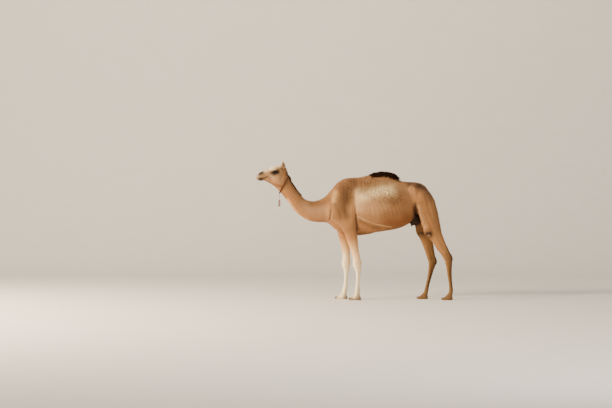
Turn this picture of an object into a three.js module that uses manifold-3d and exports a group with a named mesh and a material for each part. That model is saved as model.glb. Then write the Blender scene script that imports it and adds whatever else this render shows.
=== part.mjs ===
// A standing dromedary camel, life size, as a still museum model.
// It stands on four flat soles and looks level along -X. Its left side faces -Y, and +Z is up.
//
// The flesh is one field: tapered strands (limbs, neck, barrel) and balls (muscles, bony points)
// that melt into each other. Each sub-part is a net cast onto that field: rings of rays run out
// from a line inside the part to the surface, and the net is closed into a solid. Flat cuts part
// neighbours, so every sub-part meets the next face to face.
import * as THREE from "three";
import { mergeVertices } from "three/addons/utils/BufferGeometryUtils.js";
import Module from "manifold-3d";

const wasm = await Module();
wasm.setup();

// ---- driving dimensions, millimetres ----------------------------------------------------------
const GAP = 0.3; // air between neighbouring sub-parts
const FOOT_HALF_SPREAD = 150; // from the midline to the middle of each sole
const EYE_RADIUS = 21;
const EYE = new THREE.Vector3(-1231, 74, 1973); // centre of the right eyeball
const COLLAR_RADIUS = 7.5;
const CORD_RADIUS = 3;
const CORD_LENGTH = 100;

const V = (x, y, z) => new THREE.Vector3(x, y, z);
const LATERAL = V(0, 1, 0);

// ---- the flesh as a field ---------------------------------------------------------------------
// A station is [x, y, z, half-depth in the sagittal plane, half-width across].
const STATION_STEPS = 4; // segments that a strand gets between two stations

/** Catmull-Rom value through four numbers. */
function spline(a, b, c, d, t) {
  return 0.5 * (2 * b + (c - a) * t + (2 * a - 5 * b + 4 * c - d) * t * t + (3 * b - a - 3 * c + d) * t ** 3);
}

/** The stations of a strand, with smooth ones put between them. */
function resample(stations, steps) {
  const rows = [];
  const at = (i) => stations[Math.max(0, Math.min(stations.length - 1, i))];
  for (let i = 0; i < stations.length - 1; i++)
    for (let s = 0; s < steps; s++)
      rows.push(at(i).map((_, k) => spline(at(i - 1)[k], at(i)[k], at(i + 1)[k], at(i + 2)[k], s / steps)));
  rows.push(stations.at(-1));
  return rows;
}

/** A tapered strand of oval section through its stations: a function of a point, negative inside. */
function strand(stations, blend = 60) {
  const rows = resample(stations, STATION_STEPS);
  const pieces = rows.slice(1).map((b, i) => {
    const a = rows[i];
    const [dx, dy, dz] = [b[0] - a[0], b[1] - a[1], b[2] - a[2]];
    const length = Math.hypot(dx, dy, dz) || 1e-6;
    const along = V(dx, dy, dz).divideScalar(length);
    const across = LATERAL.clone().addScaledVector(along, -along.y).normalize();
    const up = V(0, 0, 0).crossVectors(along, across);
    return { a, b, along, across, up, length };
  });
  const field = (p) => {
    let best = Infinity;
    for (const { a, b, along, across, up, length } of pieces) {
      const [qx, qy, qz] = [p.x - a[0], p.y - a[1], p.z - a[2]];
      const run = qx * along.x + qy * along.y + qz * along.z;
      const t = Math.max(0, Math.min(1, run / length));
      const depth = a[3] + (b[3] - a[3]) * t;
      const width = a[4] + (b[4] - a[4]) * t;
      const past = run - t * length;
      const u = qx * up.x + qy * up.y + qz * up.z;
      const v = qx * across.x + qy * across.y + qz * across.z;
      const shortest = Math.min(depth, width);
      const e = Math.hypot(u / depth, v / width, past / shortest) + 1e-9;
      best = Math.min(best, Math.hypot(u, v, past) * (1 - 1 / e));
    }
    return best;
  };
  return { field, blend };
}

/** An oval ball, turned nose-down about the lateral axis by pitch degrees. */
function ball([x, y, z], [rx, ry, rz], { blend = 30, pitch = 0 } = {}) {
  const [c, s] = [Math.cos((pitch * Math.PI) / 180), Math.sin((pitch * Math.PI) / 180)];
  const field = (p) => {
    const [qx, qy, qz] = [p.x - x, p.y - y, p.z - z];
    const [u, w] = [qx * c - qz * s, qx * s + qz * c];
    const e = Math.hypot(u / rx, qy / ry, w / rz) + 1e-9;
    return Math.hypot(qx, qy, qz) * (1 - 1 / e);
  };
  return { field, blend };
}

/** The same form on both sides of the midline. */
function paired(make) {
  return [make(-1), make(1)];
}

/** Forms melted into one: where two meet, their shared surface swells by up to a quarter of the blend. */
function melt(forms) {
  return (p) => {
    let d = Infinity;
    for (const { field, blend } of forms) {
      const f = field(p);
      const h = Math.max(blend - Math.abs(d - f), 0) / blend;
      d = Math.min(d, f) - (h * h * blend) / 4;
    }
    return d;
  };
}

// ---- the body's forms -------------------------------------------------------------------------
const BARREL = strand([
  [-300, 0, 1430, 262, 136],
  [-150, 0, 1420, 345, 190],
  [50, 0, 1400, 385, 240],
  [250, 0, 1400, 366, 268],
  [450, 0, 1425, 362, 278],
  [620, 0, 1447, 350, 268],
  [760, 0, 1482, 308, 236],
  [880, 0, 1530, 255, 200],
  [980, 0, 1560, 205, 165],
  [1060, 0, 1540, 140, 124],
]);
const RIDGE = strand(
  [
    [-285, 0, 1632, 84, 64],
    [-200, 0, 1728, 106, 72],
    [-56, 0, 1775, 108, 78],
    [143, 0, 1790, 108, 84],
    [350, 0, 1795, 108, 95],
    [550, 0, 1785, 103, 98],
    [700, 0, 1740, 98, 98],
    [850, 0, 1722, 97, 104],
    [940, 0, 1715, 99, 112],
    [1023, 0, 1692, 94, 106],
    [1085, 0, 1624, 64, 88],
    [1135, 0, 1556, 58, 74],
  ],
  90,
);
const HUMP = [
  ball([455, 0, 1832], [228, 112, 122], { blend: 60 }),
  ball([285, 0, 1826], [195, 100, 94], { blend: 60 }),
];
const HUMP_CORE = strand(
  [
    [300, 0, 1912, 24, 24],
    [380, 0, 1928, 32, 38],
    [480, 0, 1930, 31, 40],
    [577, 0, 1914, 28, 36],
    [640, 0, 1880, 22, 26],
  ],
  30,
);
const BREAST = strand(
  [
    [-305, 0, 1270, 90, 108],
    [-250, 0, 1186, 96, 108],
    [-150, 0, 1130, 92, 98],
    [40, 0, 1108, 92, 84],
    [200, 0, 1118, 88, 92],
  ],
  80,
);
const CHEST_PAD = ball([40, 0, 1030], [82, 58, 34], { blend: 24 });
const SHOULDER = paired((side) =>
  strand(
    [
      [-85, side * 72, 1785, 80, 40],
      [-165, side * 116, 1640, 100, 54],
      [-235, side * 149, 1470, 105, 60],
      [-275, side * 158, 1330, 90, 62],
    ],
    100,
  ),
);
const HAUNCH = paired((side) =>
  strand(
    [
      [930, side * 158, 1712, 58, 48],
      [995, side * 148, 1635, 96, 76],
      [1045, side * 140, 1545, 128, 96],
    ],
    70,
  ),
);
const HIP_POINT = paired((side) => ball([932, side * 166, 1722], [54, 44, 38], { blend: 80 }));
const SEAT_BONE = paired((side) => ball([1142, side * 90, 1585], [46, 42, 60], { blend: 60 }));
const CROTCH = strand(
  [
    [1050, 0, 1580, 84, 76],
    [1072, 0, 1500, 96, 70],
    [1082, 0, 1425, 92, 62],
    [1080, 0, 1385, 72, 56],
  ],
  70,
);

// A leg's sizes by station, from the top down: half-depth and half-width.
const FRONT_SIZES = {
  armpit: [114, 76],
  elbow: [104, 70],
  forearm: [86, 60],
  lowForearm: [65, 50],
  aboveKnee: [59, 50],
  knee: [61, 54],
  belowKnee: [49, 45],
  cannon: [35, 33],
  lowCannon: [33, 31],
  fetlock: [40, 41],
  pastern: [42, 44],
  hoofTop: [52, 54],
};
const HIND_SIZES = {
  hip: [110, 90],
  thigh: [144, 100],
  lowThigh: [154, 94],
  aboveStifle: [140, 84],
  stifle: [128, 76],
  gaskin: [98, 62],
  lowGaskin: [84, 52],
  aboveHock: [73, 44],
  hock: [64, 45],
  belowHock: [56, 41],
  highCannon: [44, 35],
  cannon: [35, 30],
  lowCannon: [31, 29],
  fetlock: [34, 37],
  pastern: [38, 42],
  hoofTop: [48, 52],
};
// Where each leg holds those stations in the pose: [x, z].
const POSE = {
  front_left: [
    [-72, 1190], [-62, 1079], [-31, 924], [5, 769], [31, 655], [43, 552],
    [56, 474], [59, 381], [54, 257], [46, 168], [44, 95], [34, 42],
  ],
  front_right: [
    [-150, 1190], [-160, 1079], [-143, 924], [-124, 769], [-119, 655], [-121, 542],
    [-119, 465], [-120, 376], [-124, 262], [-137, 175], [-150, 100], [-172, 42],
  ],
  hind_left: [
    [1052, 1590], [1094, 1497], [1131, 1358], [1180, 1187], [1217, 1063], [1277, 955],
    [1340, 831], [1396, 738], [1443, 645], [1456, 575], [1463, 490],
    [1471, 366], [1486, 226], [1491, 150], [1480, 92], [1455, 42],
  ],
  hind_right: [
    [1030, 1590], [1062, 1497], [1082, 1358], [1098, 1187], [1108, 1063], [1122, 955],
    [1158, 838], [1186, 727], [1221, 588], [1216, 522], [1201, 452],
    [1178, 345], [1149, 226], [1132, 147], [1118, 92], [1092, 42],
  ],
};
const ELBOW_SPREAD = 160;
const HIP_SPREAD = 142;
const SIDE = { left: -1, right: 1 };
const FOOT_REACH = 20; // the sole's middle lies this far in front of the leg's lowest station
const FOOT_SIZE = { front: 1, hind: 0.9 };
const LEGS = Object.keys(POSE);

/** Whether a leg is a front or a hind one, from its name. */
const endOf = (name) => name.split("_")[0];

/** The side that a leg stands on, from its name. */
const sideOf = (name) => SIDE[name.split("_")[1]];

/** The upper arm of one leg, from the point of the shoulder back to its elbow. */
function upperArm(name) {
  const side = sideOf(name);
  const elbow = POSE[name][0][0] - 12;
  return strand(
    [
      [-275, side * 162, 1330, 82, 60],
      [elbow / 2 - 138, side * 168, 1237, 100, 64],
      [elbow, side * 165, 1150, 114, 70],
    ],
    70,
  );
}

/** The strand of one leg: its sizes hung on its pose, coming in from the top spread to the sole's. */
function legStrand(name) {
  const isFront = endOf(name) === "front";
  const sizes = Object.values(isFront ? FRONT_SIZES : HIND_SIZES);
  const topSpread = isFront ? ELBOW_SPREAD : HIP_SPREAD;
  const rows = POSE[name].map(([x, z], i) => {
    const share = Math.min(1, i / (sizes.length / 2));
    const spread = topSpread + (FOOT_HALF_SPREAD - topSpread) * share;
    return [x, sideOf(name) * spread, z, ...sizes[i]];
  });
  return strand(rows, 50);
}

/** The bony points of one leg: the pea bone behind a knee, the point of a hock, the stifle's pad. */
function legPoints(name) {
  const side = sideOf(name) * FOOT_HALF_SPREAD;
  const at = (i) => POSE[name][i];
  if (endOf(name) === "front") {
    const [x, z] = at(5);
    return [
      ball([x + 36, side, z + 26], [28, 24, 44], { blend: 40 }),
      ball([x - 32, side, z + 4], [28, 38, 64], { blend: 40 }),
    ];
  }
  const [hockX, hockZ] = at(8);
  const [stifleX, stifleZ] = at(4);
  return [
    ball([hockX + 46, side, hockZ + 12], [24, 22, 52], { blend: 30, pitch: -16 }),
    ball([stifleX - 84, side * 1.02, stifleZ + 6], [46, 54, 74], { blend: 60 }),
  ];
}

/** A two-toed foot: a broad pad that spreads from the pastern, parted in front. */
function footForms(name) {
  const side = sideOf(name) * FOOT_HALF_SPREAD;
  const size = FOOT_SIZE[endOf(name)];
  const [lowX] = POSE[name].at(-1);
  const x = lowX - FOOT_REACH;
  return [
    ball([x + 22 * size, side, 20], [72 * size, 76 * size, 48], { blend: 34 }),
    ball([x - 36 * size, side - 34 * size, 12], [62 * size, 38 * size, 36], { blend: 22 }),
    ball([x - 36 * size, side + 34 * size, 12], [62 * size, 38 * size, 36], { blend: 22 }),
  ];
}

const NECK = strand([
  [-1112, 0, 1850, 118, 72],
  [-1092, 0, 1795, 117, 72],
  [-1050, 0, 1728, 115, 73],
  [-945, 0, 1588, 110, 76],
  [-825, 0, 1452, 126, 82],
  [-660, 0, 1374, 155, 92],
  [-507, 0, 1374, 177, 104],
  [-400, 0, 1402, 196, 118],
  [-310, 0, 1424, 222, 130],
], 90);
const UPPER_LIP = paired((side) =>
  strand(
    [
      [-1345, side * 36, 1919, 7, 7],
      [-1388, side * 35, 1901, 10, 10],
      [-1430, side * 35, 1885, 12, 11],
      [-1466, side * 38, 1877, 13, 12],
      [-1490, side * 33, 1877, 14, 13],
      [-1504, side * 18, 1877, 15, 14],
      [-1508, side * 4, 1877, 15, 14],
    ],
    12,
  ),
);
const LOWER_LIP = paired((side) =>
  strand(
    [
      [-1360, side * 33, 1892, 7, 7],
      [-1388, side * 32, 1878, 9, 9],
      [-1430, side * 27, 1862, 10, 10],
      [-1460, side * 22, 1855, 11, 11],
      [-1475, side * 12, 1855, 11, 11],
      [-1479, side * 3, 1855, 11, 11],
    ],
    12,
  ),
);
const HEAD = [
  strand([
    [-1140, 0, 2000, 84, 72],
    [-1235, 0, 1990, 84, 74],
    [-1310, 0, 1972, 70, 58],
    [-1385, 0, 1950, 58, 48],
    [-1445, 0, 1925, 51, 48],
    [-1476, 0, 1906, 40, 44],
  ], 30),
  strand([
    [-1140, 0, 1822, 88, 56],
    [-1225, 0, 1842, 76, 54],
    [-1310, 0, 1862, 56, 44],
    [-1390, 0, 1882, 38, 36],
    [-1452, 0, 1872, 25, 32],
  ], 40),
  ball([-1098, 0, 1995], [54, 58, 66], { blend: 40 }),
  ...paired((side) => ball([-1180, side * 40, 1890], [78, 36, 84], { blend: 34 })),
  ...paired((side) => ball([-1228, side * 72, 2006], [56, 28, 27], { blend: 40, pitch: -8 })),
  ...paired((side) => ball([-1205, side * 58, 1936], [84, 28, 32], { blend: 50, pitch: -12 })),
  ...paired((side) => ball([-1452, side * 34, 1948], [34, 18, 26], { blend: 20, pitch: -30 })),
  ...paired((side) => ball([-1486, side * 20, 1888], [30, 28, 30], { blend: 18 })),
  ball([-1448, 0, 1856], [32, 28, 16], { blend: 16 }),
  ...UPPER_LIP,
  ...LOWER_LIP,
];

const UDDER = ball([935, 0, 1265], [92, 80, 118], { pitch: -18 });
const TAIL_STATIONS = [
  [1092, 0, 1674, 34, 30],
  [1150, 0, 1650, 28, 26],
  [1196, 0, 1590, 23, 22],
  [1232, 0, 1510, 20, 19],
  [1254, 0, 1424, 17, 16],
  [1266, 0, 1338, 17, 16],
  [1273, 0, 1250, 20, 18],
  [1275, 0, 1170, 12, 12],
];
const TAIL = strand(TAIL_STATIONS);

// ---- casting nets onto the field --------------------------------------------------------------
const CAST_STEP = 7;

/** Where a ray from inside a field first leaves it, or null where that is beyond the limit. */
function cast(field, origin, direction, limit = Infinity) {
  const at = (s) => field(origin.clone().addScaledVector(direction, s));
  let low = 0;
  let high = CAST_STEP;
  while (at(high) < 0) {
    low = high;
    high += CAST_STEP;
    if (high > limit) return null;
  }
  for (let i = 0; i < 18; i++) {
    const middle = (low + high) / 2;
    if (at(middle) < 0) low = middle;
    else high = middle;
  }
  return origin.clone().addScaledVector(direction, high);
}

/** The triangles between rings of points that follow each other, wrapped at a number of points. */
function bands(rings, sides, wrap = Infinity) {
  const points = rings.flat();
  const index = [];
  for (let r = 0; r < rings.length - 1; r++)
    for (let s = 0; s < sides; s++) {
      const [a, b] = [r * sides + s, r * sides + ((s + 1) % sides)];
      const [c, d] = [a + sides, b + sides];
      const falls = points[a].distanceToSquared(points[d]) < points[b].distanceToSquared(points[c]);
      index.push(...(falls ? [a, b, d, a, d, c] : [a, b, c, b, d, c]));
    }
  return index.map((i) => (i >= wrap ? i - wrap : i));
}

/** A three.js geometry from points and the triangles between them. */
function meshOf(points, index) {
  const geometry = new THREE.BufferGeometry();
  const numbers = points.flatMap((p) => [p.x, p.y, p.z]);
  geometry.setAttribute("position", new THREE.Float32BufferAttribute(numbers, 3));
  geometry.setIndex(index);
  return geometry;
}

/** A closed three.js geometry from rings of equal length, each end shut by a point. */
function closeRings(rings, first, last) {
  const sides = rings[0].length;
  const points = [...rings.flat(), first, last];
  const [start, end] = [points.length - 2, points.length - 1];
  const index = bands(rings, sides);
  const lastRing = (rings.length - 1) * sides;
  for (let s = 0; s < sides; s++) {
    index.push(start, (s + 1) % sides, s);
    index.push(end, lastRing + s, lastRing + ((s + 1) % sides));
  }
  return meshOf(points, index);
}

/**
 * A net cast from the middles of its rings; throwRay gives the point where a ray ends.
 * rings: [{ middle, axis, lean }], from one end to the other; a ring's rays lie square to its axis,
 * or lean towards the axis by an angle.
 * roundStart and roundEnd put the closing point on the surface; otherwise that end is flat.
 * narrowStart is the share to which the first ring narrows; the others widen evenly to the last.
 */
function castNet(throwRay, rings, sides, { roundStart = false, roundEnd = false, narrowStart = 1 } = {}) {
  const nets = rings.map(({ middle, axis, lean = 0 }, i) => {
    const narrowed = (1 - narrowStart) * (1 - i / (rings.length - 1));
    const up = V(0, 0, 0).crossVectors(axis, LATERAL).normalize();
    const across = V(0, 0, 0).crossVectors(up, axis).normalize();
    return Array.from({ length: sides }, (_, s) => {
      const angle = (2 * Math.PI * s) / sides;
      const ray = up.clone().multiplyScalar(Math.cos(angle)).addScaledVector(across, Math.sin(angle));
      ray.multiplyScalar(Math.cos(lean)).addScaledVector(axis, Math.sin(lean));
      return throwRay(middle, ray).lerp(middle, narrowed);
    });
  });
  const [start, end] = [rings[0], rings.at(-1)];
  const first = roundStart ? throwRay(start.middle, start.axis.clone().negate()) : start.middle;
  const last = roundEnd ? throwRay(end.middle, end.axis) : end.middle;
  return closeRings(nets, first, last);
}

// ---- joining and cutting ----------------------------------------------------------------------
const WELD_REACH = 1e-3;

/** A three.js geometry as a manifold-3d solid, turned right side out where it isn't. */
function solid(geometry) {
  const vertProperties = Float32Array.from(geometry.attributes.position.array);
  const triVerts = Uint32Array.from(geometry.index.array);
  const build = () => new wasm.Manifold(new wasm.Mesh({ numProp: 3, vertProperties, triVerts }));
  const made = build();
  if (made.volume() > 0) return made;
  for (let i = 0; i < triVerts.length; i += 3) triVerts.subarray(i, i + 3).reverse();
  return build();
}

/** What is left of a solid on the far side of a plane, half a gap beyond it. */
function beyond(body, point, normal) {
  const n = normal.clone().normalize();
  return body.trimByPlane(n.toArray(), n.dot(point) + GAP / 2);
}

/** A geometry with its shared corners merged and its collapsed triangles left out, so it is closed. */
function welded(source) {
  const bare = source.clone();
  for (const name of ["normal", "uv"]) bare.deleteAttribute(name);
  const merged = mergeVertices(bare, WELD_REACH);
  const corners = [...merged.index.array];
  const kept = [];
  for (let i = 0; i < corners.length; i += 3) {
    const [a, b, c] = corners.slice(i, i + 3);
    if (a !== b && b !== c && a !== c) kept.push(a, b, c);
  }
  merged.setIndex(kept);
  return merged;
}

/** The largest closed surface of a solid. */
function largest(body) {
  return body.decompose().sort((a, b) => b.volume() - a.volume())[0];
}

const model = new THREE.Group();

/** Adds a solid to the model as a named mesh with its own material. */
function addPart(name, body, { color, roughness, metalness = 0 }) {
  const mesh = largest(body).getMesh();
  const geometry = new THREE.BufferGeometry();
  const count = mesh.numProp;
  const position = new Float32Array((mesh.vertProperties.length / count) * 3);
  for (let i = 0; i < position.length / 3; i++)
    position.set(mesh.vertProperties.subarray(i * count, i * count + 3), i * 3);
  geometry.setAttribute("position", new THREE.BufferAttribute(position, 3));
  geometry.setIndex(new THREE.BufferAttribute(Uint32Array.from(mesh.triVerts), 1));
  const material = new THREE.MeshStandardMaterial({ color, roughness, metalness, flatShading: true });
  const part = new THREE.Mesh(geometry, material);
  part.name = name;
  model.add(part);
  return part;
}

const DARK_HAIR = { color: 0x3a2415, roughness: 0.95 };
const COAT = { color: 0xa67a4f, roughness: 0.92 };
const PALE_COAT = { color: 0xdcc7a3, roughness: 0.92 };
const FACE_COAT = { color: 0xc3a482, roughness: 0.9 };
const HORN = { color: 0x4a3a2b, roughness: 0.6 };
const EYE_GLOSS = { color: 0x140d08, roughness: 0.15 };
const UDDER_SKIN = { color: 0x3f3833, roughness: 0.65 };
const ROPE = { color: 0x6b2f22, roughness: 0.9 };
const GREEN = { color: 0x3fae7c, roughness: 0.8 };
const RED = { color: 0xb0203c, roughness: 0.8 };

// ---- rings of the nets ------------------------------------------------------------------------
const DOWN = V(0, 0, -1);
const ASTERN = V(1, 0, 0);
const CENTRIPETAL = "centripetal";

/** Places from 0 to 1 along a line: runs of [count, end], each run evenly spaced. */
function spaced(...runs) {
  const places = [0];
  for (const [count, end] of runs) {
    const from = places.at(-1);
    for (let i = 1; i <= count; i++) places.push(from + ((end - from) * i) / count);
  }
  return places;
}

/**
 * Rings with their middles on a smooth line, square to it.
 * startAxis and endAxis are the axes of the ends; the axes between them turn to the line's own
 * over the first and the last share of it.
 */
function ringsAlong(points, places, { startAxis = null, endAxis = null, share = 0.2 } = {}) {
  const curve = new THREE.CatmullRomCurve3(points, false, CENTRIPETAL);
  return places.map((t) => {
    const axis = curve.getTangentAt(t).normalize();
    if (startAxis) axis.lerp(startAxis, Math.max(0, 1 - t / share));
    if (endAxis) axis.lerp(endAxis, Math.max(0, 1 - (1 - t) / share));
    return { middle: curve.getPointAt(t), axis: axis.normalize() };
  });
}

/** Points round a middle, square to an axis, at a radius. */
function circle(middle, axis, radius, sides, reference = LATERAL) {
  const across = V(0, 0, 0).crossVectors(axis, reference).normalize();
  const up = V(0, 0, 0).crossVectors(axis, across);
  return Array.from({ length: sides }, (_, s) => {
    const angle = (2 * Math.PI * s) / sides;
    return middle
      .clone()
      .addScaledVector(across, radius * Math.cos(angle))
      .addScaledVector(up, radius * Math.sin(angle));
  });
}

/** A round rod along points, thinning towards both its ends. */
function rod(points, thick, thin, sides, steps) {
  const curve = new THREE.CatmullRomCurve3(points, false, CENTRIPETAL);
  const rings = spaced([steps, 1]).map((t) => {
    const axis = curve.getTangentAt(t).normalize();
    const radius = thin + (thick - thin) * Math.sqrt(Math.sin(Math.PI * t));
    return circle(curve.getPointAt(t), axis, radius, sides, Math.abs(axis.y) > 0.9 ? DOWN : LATERAL);
  });
  return solid(closeRings(rings, curve.getPointAt(0), curve.getPointAt(1)));
}

// ---- limbs ------------------------------------------------------------------------------------
const THIGH_CUT_Z = 1400;
const ARM_CUT_Z = 1130;
const FOOT_CUT_Z = 95;
const LEG_CUTS = {
  front: [["forearm", ARM_CUT_Z, 615], ["cannon", 615, FOOT_CUT_Z]],
  hind: [["thigh", THIGH_CUT_Z, 965], ["gaskin", 965, 565], ["cannon", 565, FOOT_CUT_Z]],
};
const LEG_RING_STEP = 50;
const LEG_SIDES = 12;
const FILLET_REACH = 45; // how far outside some forms their rays look for the whole body's skin
const ROOT_LINES = {
  front: [[-252, 158, 1300], [-225, 164, 1245]],
  hind: [[1040, 148, 1615], [1068, 143, 1520], [1086, 142, 1460]],
};
const ROOT_NECK = 0.86; // the share to which a root narrows at its top, to sink into the trunk

const limbForms = Object.fromEntries(
  LEGS.map((name) => {
    const side = sideOf(name) < 0 ? 0 : 1;
    const top = endOf(name) === "front" ? [SHOULDER[side], upperArm(name)] : [HAUNCH[side]];
    return [name, [...top, legStrand(name), ...legPoints(name), ...footForms(name)]];
  }),
);
const TRUNK = [
  BARREL, RIDGE, ...HUMP, HUMP_CORE, BREAST, CROTCH, NECK, CHEST_PAD,
  ...SHOULDER, ...HAUNCH, ...HIP_POINT, ...SEAT_BONE,
];
const wholeField = melt([...TRUNK, ...Object.values(limbForms).flat()]);

/** Casts onto a field. */
const onField = (field) => (origin, direction) => cast(field, origin, direction);

/** Forms that end level at a leg's highest cut. */
function cutForms(name) {
  const floor = LEG_CUTS[endOf(name)][0][1] + GAP / 2;
  const cut = (field) => (p) => Math.max(field(p), floor - p.z);
  return limbForms[name].slice(0, -4).map(({ field, blend }) => ({ field: cut(field), blend }));
}

/** Casts onto some forms of the body, or onto the whole body's skin where that lies close outside. */
function onBody(forms, swell = 0) {
  const ownField = melt(forms);
  const own = (p) => ownField(p) - swell;
  const whole = (p) => wholeField(p) - swell;
  return (origin, direction) => {
    const inner = cast(own, origin, direction);
    return cast(whole, inner, direction, FILLET_REACH) ?? inner;
  };
}

/** The middle of a leg at a height, from its pose. */
function legMiddle(name, z) {
  const rows = POSE[name];
  const topSpread = endOf(name) === "front" ? ELBOW_SPREAD : HIP_SPREAD;
  let i = 0;
  while (i < rows.length - 2 && rows[i + 1][1] > z) i++;
  const t = Math.min(1, (rows[i][1] - z) / (rows[i][1] - rows[i + 1][1]));
  const share = Math.min(1, (i + t) / (rows.length / 2));
  const spread = topSpread + (FOOT_HALF_SPREAD - topSpread) * share;
  return V(rows[i][0] + (rows[i + 1][0] - rows[i][0]) * t, sideOf(name) * spread, z);
}

/** Level rings down a leg between two heights. */
function legRings(name, top, bottom) {
  const places = spaced([Math.round((top - bottom) / LEG_RING_STEP), 1]);
  return places.map((t) => ({ middle: legMiddle(name, top + (bottom - top) * t), axis: DOWN }));
}

/** The top of a leg where it lies on the trunk, down to its cut. */
function limbRoot(name) {
  const cut = LEG_CUTS[endOf(name)][0][1] + GAP / 2;
  const line = ROOT_LINES[endOf(name)].map(([x, y, z]) => V(x, sideOf(name) * y, z));
  const rings = ringsAlong([...line, legMiddle(name, cut)], spaced([5, 1]));
  for (const ring of rings) ring.axis = DOWN;
  return solid(castNet(onBody(limbForms[name]), rings, LEG_SIDES, { narrowStart: ROOT_NECK }));
}

/** The room that the highest piece of a leg needs in the trunk: that piece, swollen by the gap. */
function limbRoom(name) {
  const [, top, bottom] = LEG_CUTS[endOf(name)][0];
  const rings = legRings(name, top - GAP / 2, bottom + GAP / 2);
  rings[0].middle = legMiddle(name, top + GAP / 2);
  return solid(castNet(onBody(limbForms[name], GAP * 1.1), rings, LEG_SIDES));
}

const FOOT_RING_HEIGHTS = [FOOT_CUT_Z - GAP / 2, 72, 54, 40, 27, 13, 0];
const FOOT_SIDES = 18;
const NAIL_BED = { ahead: 86, height: 20, normal: V(-0.8, 0, 0.6) }; // ahead of the sole's middle

for (const name of LEGS) {
  const [end, sideName] = name.split("_");
  const [highest] = LEG_CUTS[end];
  const own = onField(melt(limbForms[name]));
  for (const cut of LEG_CUTS[end]) {
    const [piece, top, bottom] = cut;
    const rings = legRings(name, top - GAP / 2, bottom + GAP / 2);
    const net = castNet(cut === highest ? onBody(limbForms[name]) : own, rings, LEG_SIDES);
    const isPale = end === "front" && cut !== highest;
    addPart(`${end}_${piece}_${sideName}`, solid(net), isPale ? PALE_COAT : COAT);
  }
  const rings = FOOT_RING_HEIGHTS.map((z) => {
    const middle = legMiddle(name, z);
    middle.x -= (FOOT_REACH + 10) * (1 - z / FOOT_CUT_Z);
    return { middle, axis: DOWN };
  });
  const foot = solid(castNet(own, rings, FOOT_SIDES));
  const size = FOOT_SIZE[end];
  const bed = V(POSE[name].at(-1)[0] - FOOT_REACH - NAIL_BED.ahead * size, 0, NAIL_BED.height);
  addPart(`${end}_foot_${sideName}`, beyond(foot, bed, NAIL_BED.normal.clone().negate()), PALE_COAT);
  const nails = beyond(foot, bed, NAIL_BED.normal).decompose();
  nails.sort((a, b) => Math.abs(a.boundingBox().min[1]) - Math.abs(b.boundingBox().min[1]));
  nails.forEach((nail, i) => addPart(`${end}_nail_${sideName}_${i + 1}`, nail, HORN));
}

// ---- udder ------------------------------------------------------------------------------------
const TEATS = [[896, 1176], [958, 1160]]; // x and z of each teat's top, on either side
const TEAT = { spread: 36, drop: 46, thick: 13, thin: 8 };

/** The bag of the udder, swollen by a given amount. */
function udderBag(swell = 0) {
  const field = melt([UDDER]);
  const rings = ringsAlong([V(970, 0, 1360), V(940, 0, 1265), V(925, 0, 1172)], spaced([7, 1]));
  return solid(castNet(onField((p) => field(p) - swell), rings, 14, { roundStart: true, roundEnd: true }));
}

let udder = udderBag();
for (const side of [-1, 1])
  for (const [x, z] of TEATS) {
    const y = side * TEAT.spread;
    const line = [V(x, y, z + TEAT.drop), V(x, y, z), V(x - 4, y * 1.08, z - TEAT.drop)];
    udder = udder.add(rod(line, TEAT.thick, TEAT.thin, 6, 3));
  }
addPart("udder", udder, UDDER_SKIN);

// ---- locks ------------------------------------------------------------------------------------
const LOCK_RINGS = [
  { s: 0, height: 0, width: 0.8 },
  { s: 0.34, height: 0.46, width: 1 },
  { s: 0.7, height: 0.86, width: 0.7 },
];
const LOCK_TIP = { s: 1, height: 0.9 };
const LOCK_SINK = 9; // how deep a root lies under the skin
const SLOPE_STEP = 2;

/** A repeatable stream of numbers from 0 to 1. */
function seeded(seed) {
  let state = seed;
  return () => {
    state = (state * 1664525 + 1013904223) % 2 ** 32;
    return state / 2 ** 32;
  };
}

/** The outward slope of a field at a point. */
function outward(field, p) {
  const [dx, dy, dz] = [V(SLOPE_STEP, 0, 0), V(0, SLOPE_STEP, 0), V(0, 0, SLOPE_STEP)];
  const along = (step) => field(p.clone().add(step)) - field(p.clone().sub(step));
  return V(along(dx), along(dy), along(dz)).normalize();
}

/** The point of a field's skin nearest to a point close to it. */
function settled(field, p) {
  const point = p.clone();
  for (let i = 0; i < 3; i++) point.addScaledVector(outward(field, point), -field(point));
  return point;
}

/** A flat, tapered lock: its root is sunk, it rises along its lie and its tip bends back down. */
function lock(field, root, lie, { length, width, thick, lift }) {
  const at = ({ s, height }) => {
    const foot = settled(field, root.clone().addScaledVector(lie, length * s));
    const out = outward(field, foot);
    const middle = foot.addScaledVector(out, (lift + LOCK_SINK) * height - LOCK_SINK);
    return { middle, out, across: V(0, 0, 0).crossVectors(lie, out).normalize() };
  };
  const rings = LOCK_RINGS.map((ring) => {
    const { middle, out, across } = at(ring);
    const half = (ring.width * width) / 2;
    const ridge = middle.clone().addScaledVector(out, thick);
    const edge = (w) => middle.clone().addScaledVector(across, w);
    return [edge(-half), ridge, edge(half)];
  });
  return solid(closeRings(rings, rings[0][0].clone().lerp(rings[0][2], 0.5), at(LOCK_TIP).middle));
}

/** Adds rows of locks to a body: each row gives its roots and the way they lie. */
function withLocks(body, field, roots, sizes, random) {
  const vary = (value, share) => value * (1 + share * (2 * random() - 1));
  return roots.reduce((sum, { root, lie }) => {
    const turned = lie.clone().addScaledVector(LATERAL, 0.3 * (random() - 0.5)).normalize();
    const size = { ...sizes, length: vary(sizes.length, 0.2), lift: vary(sizes.lift, 0.35) };
    return sum.add(lock(field, root, turned, size));
  }, body);
}

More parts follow.
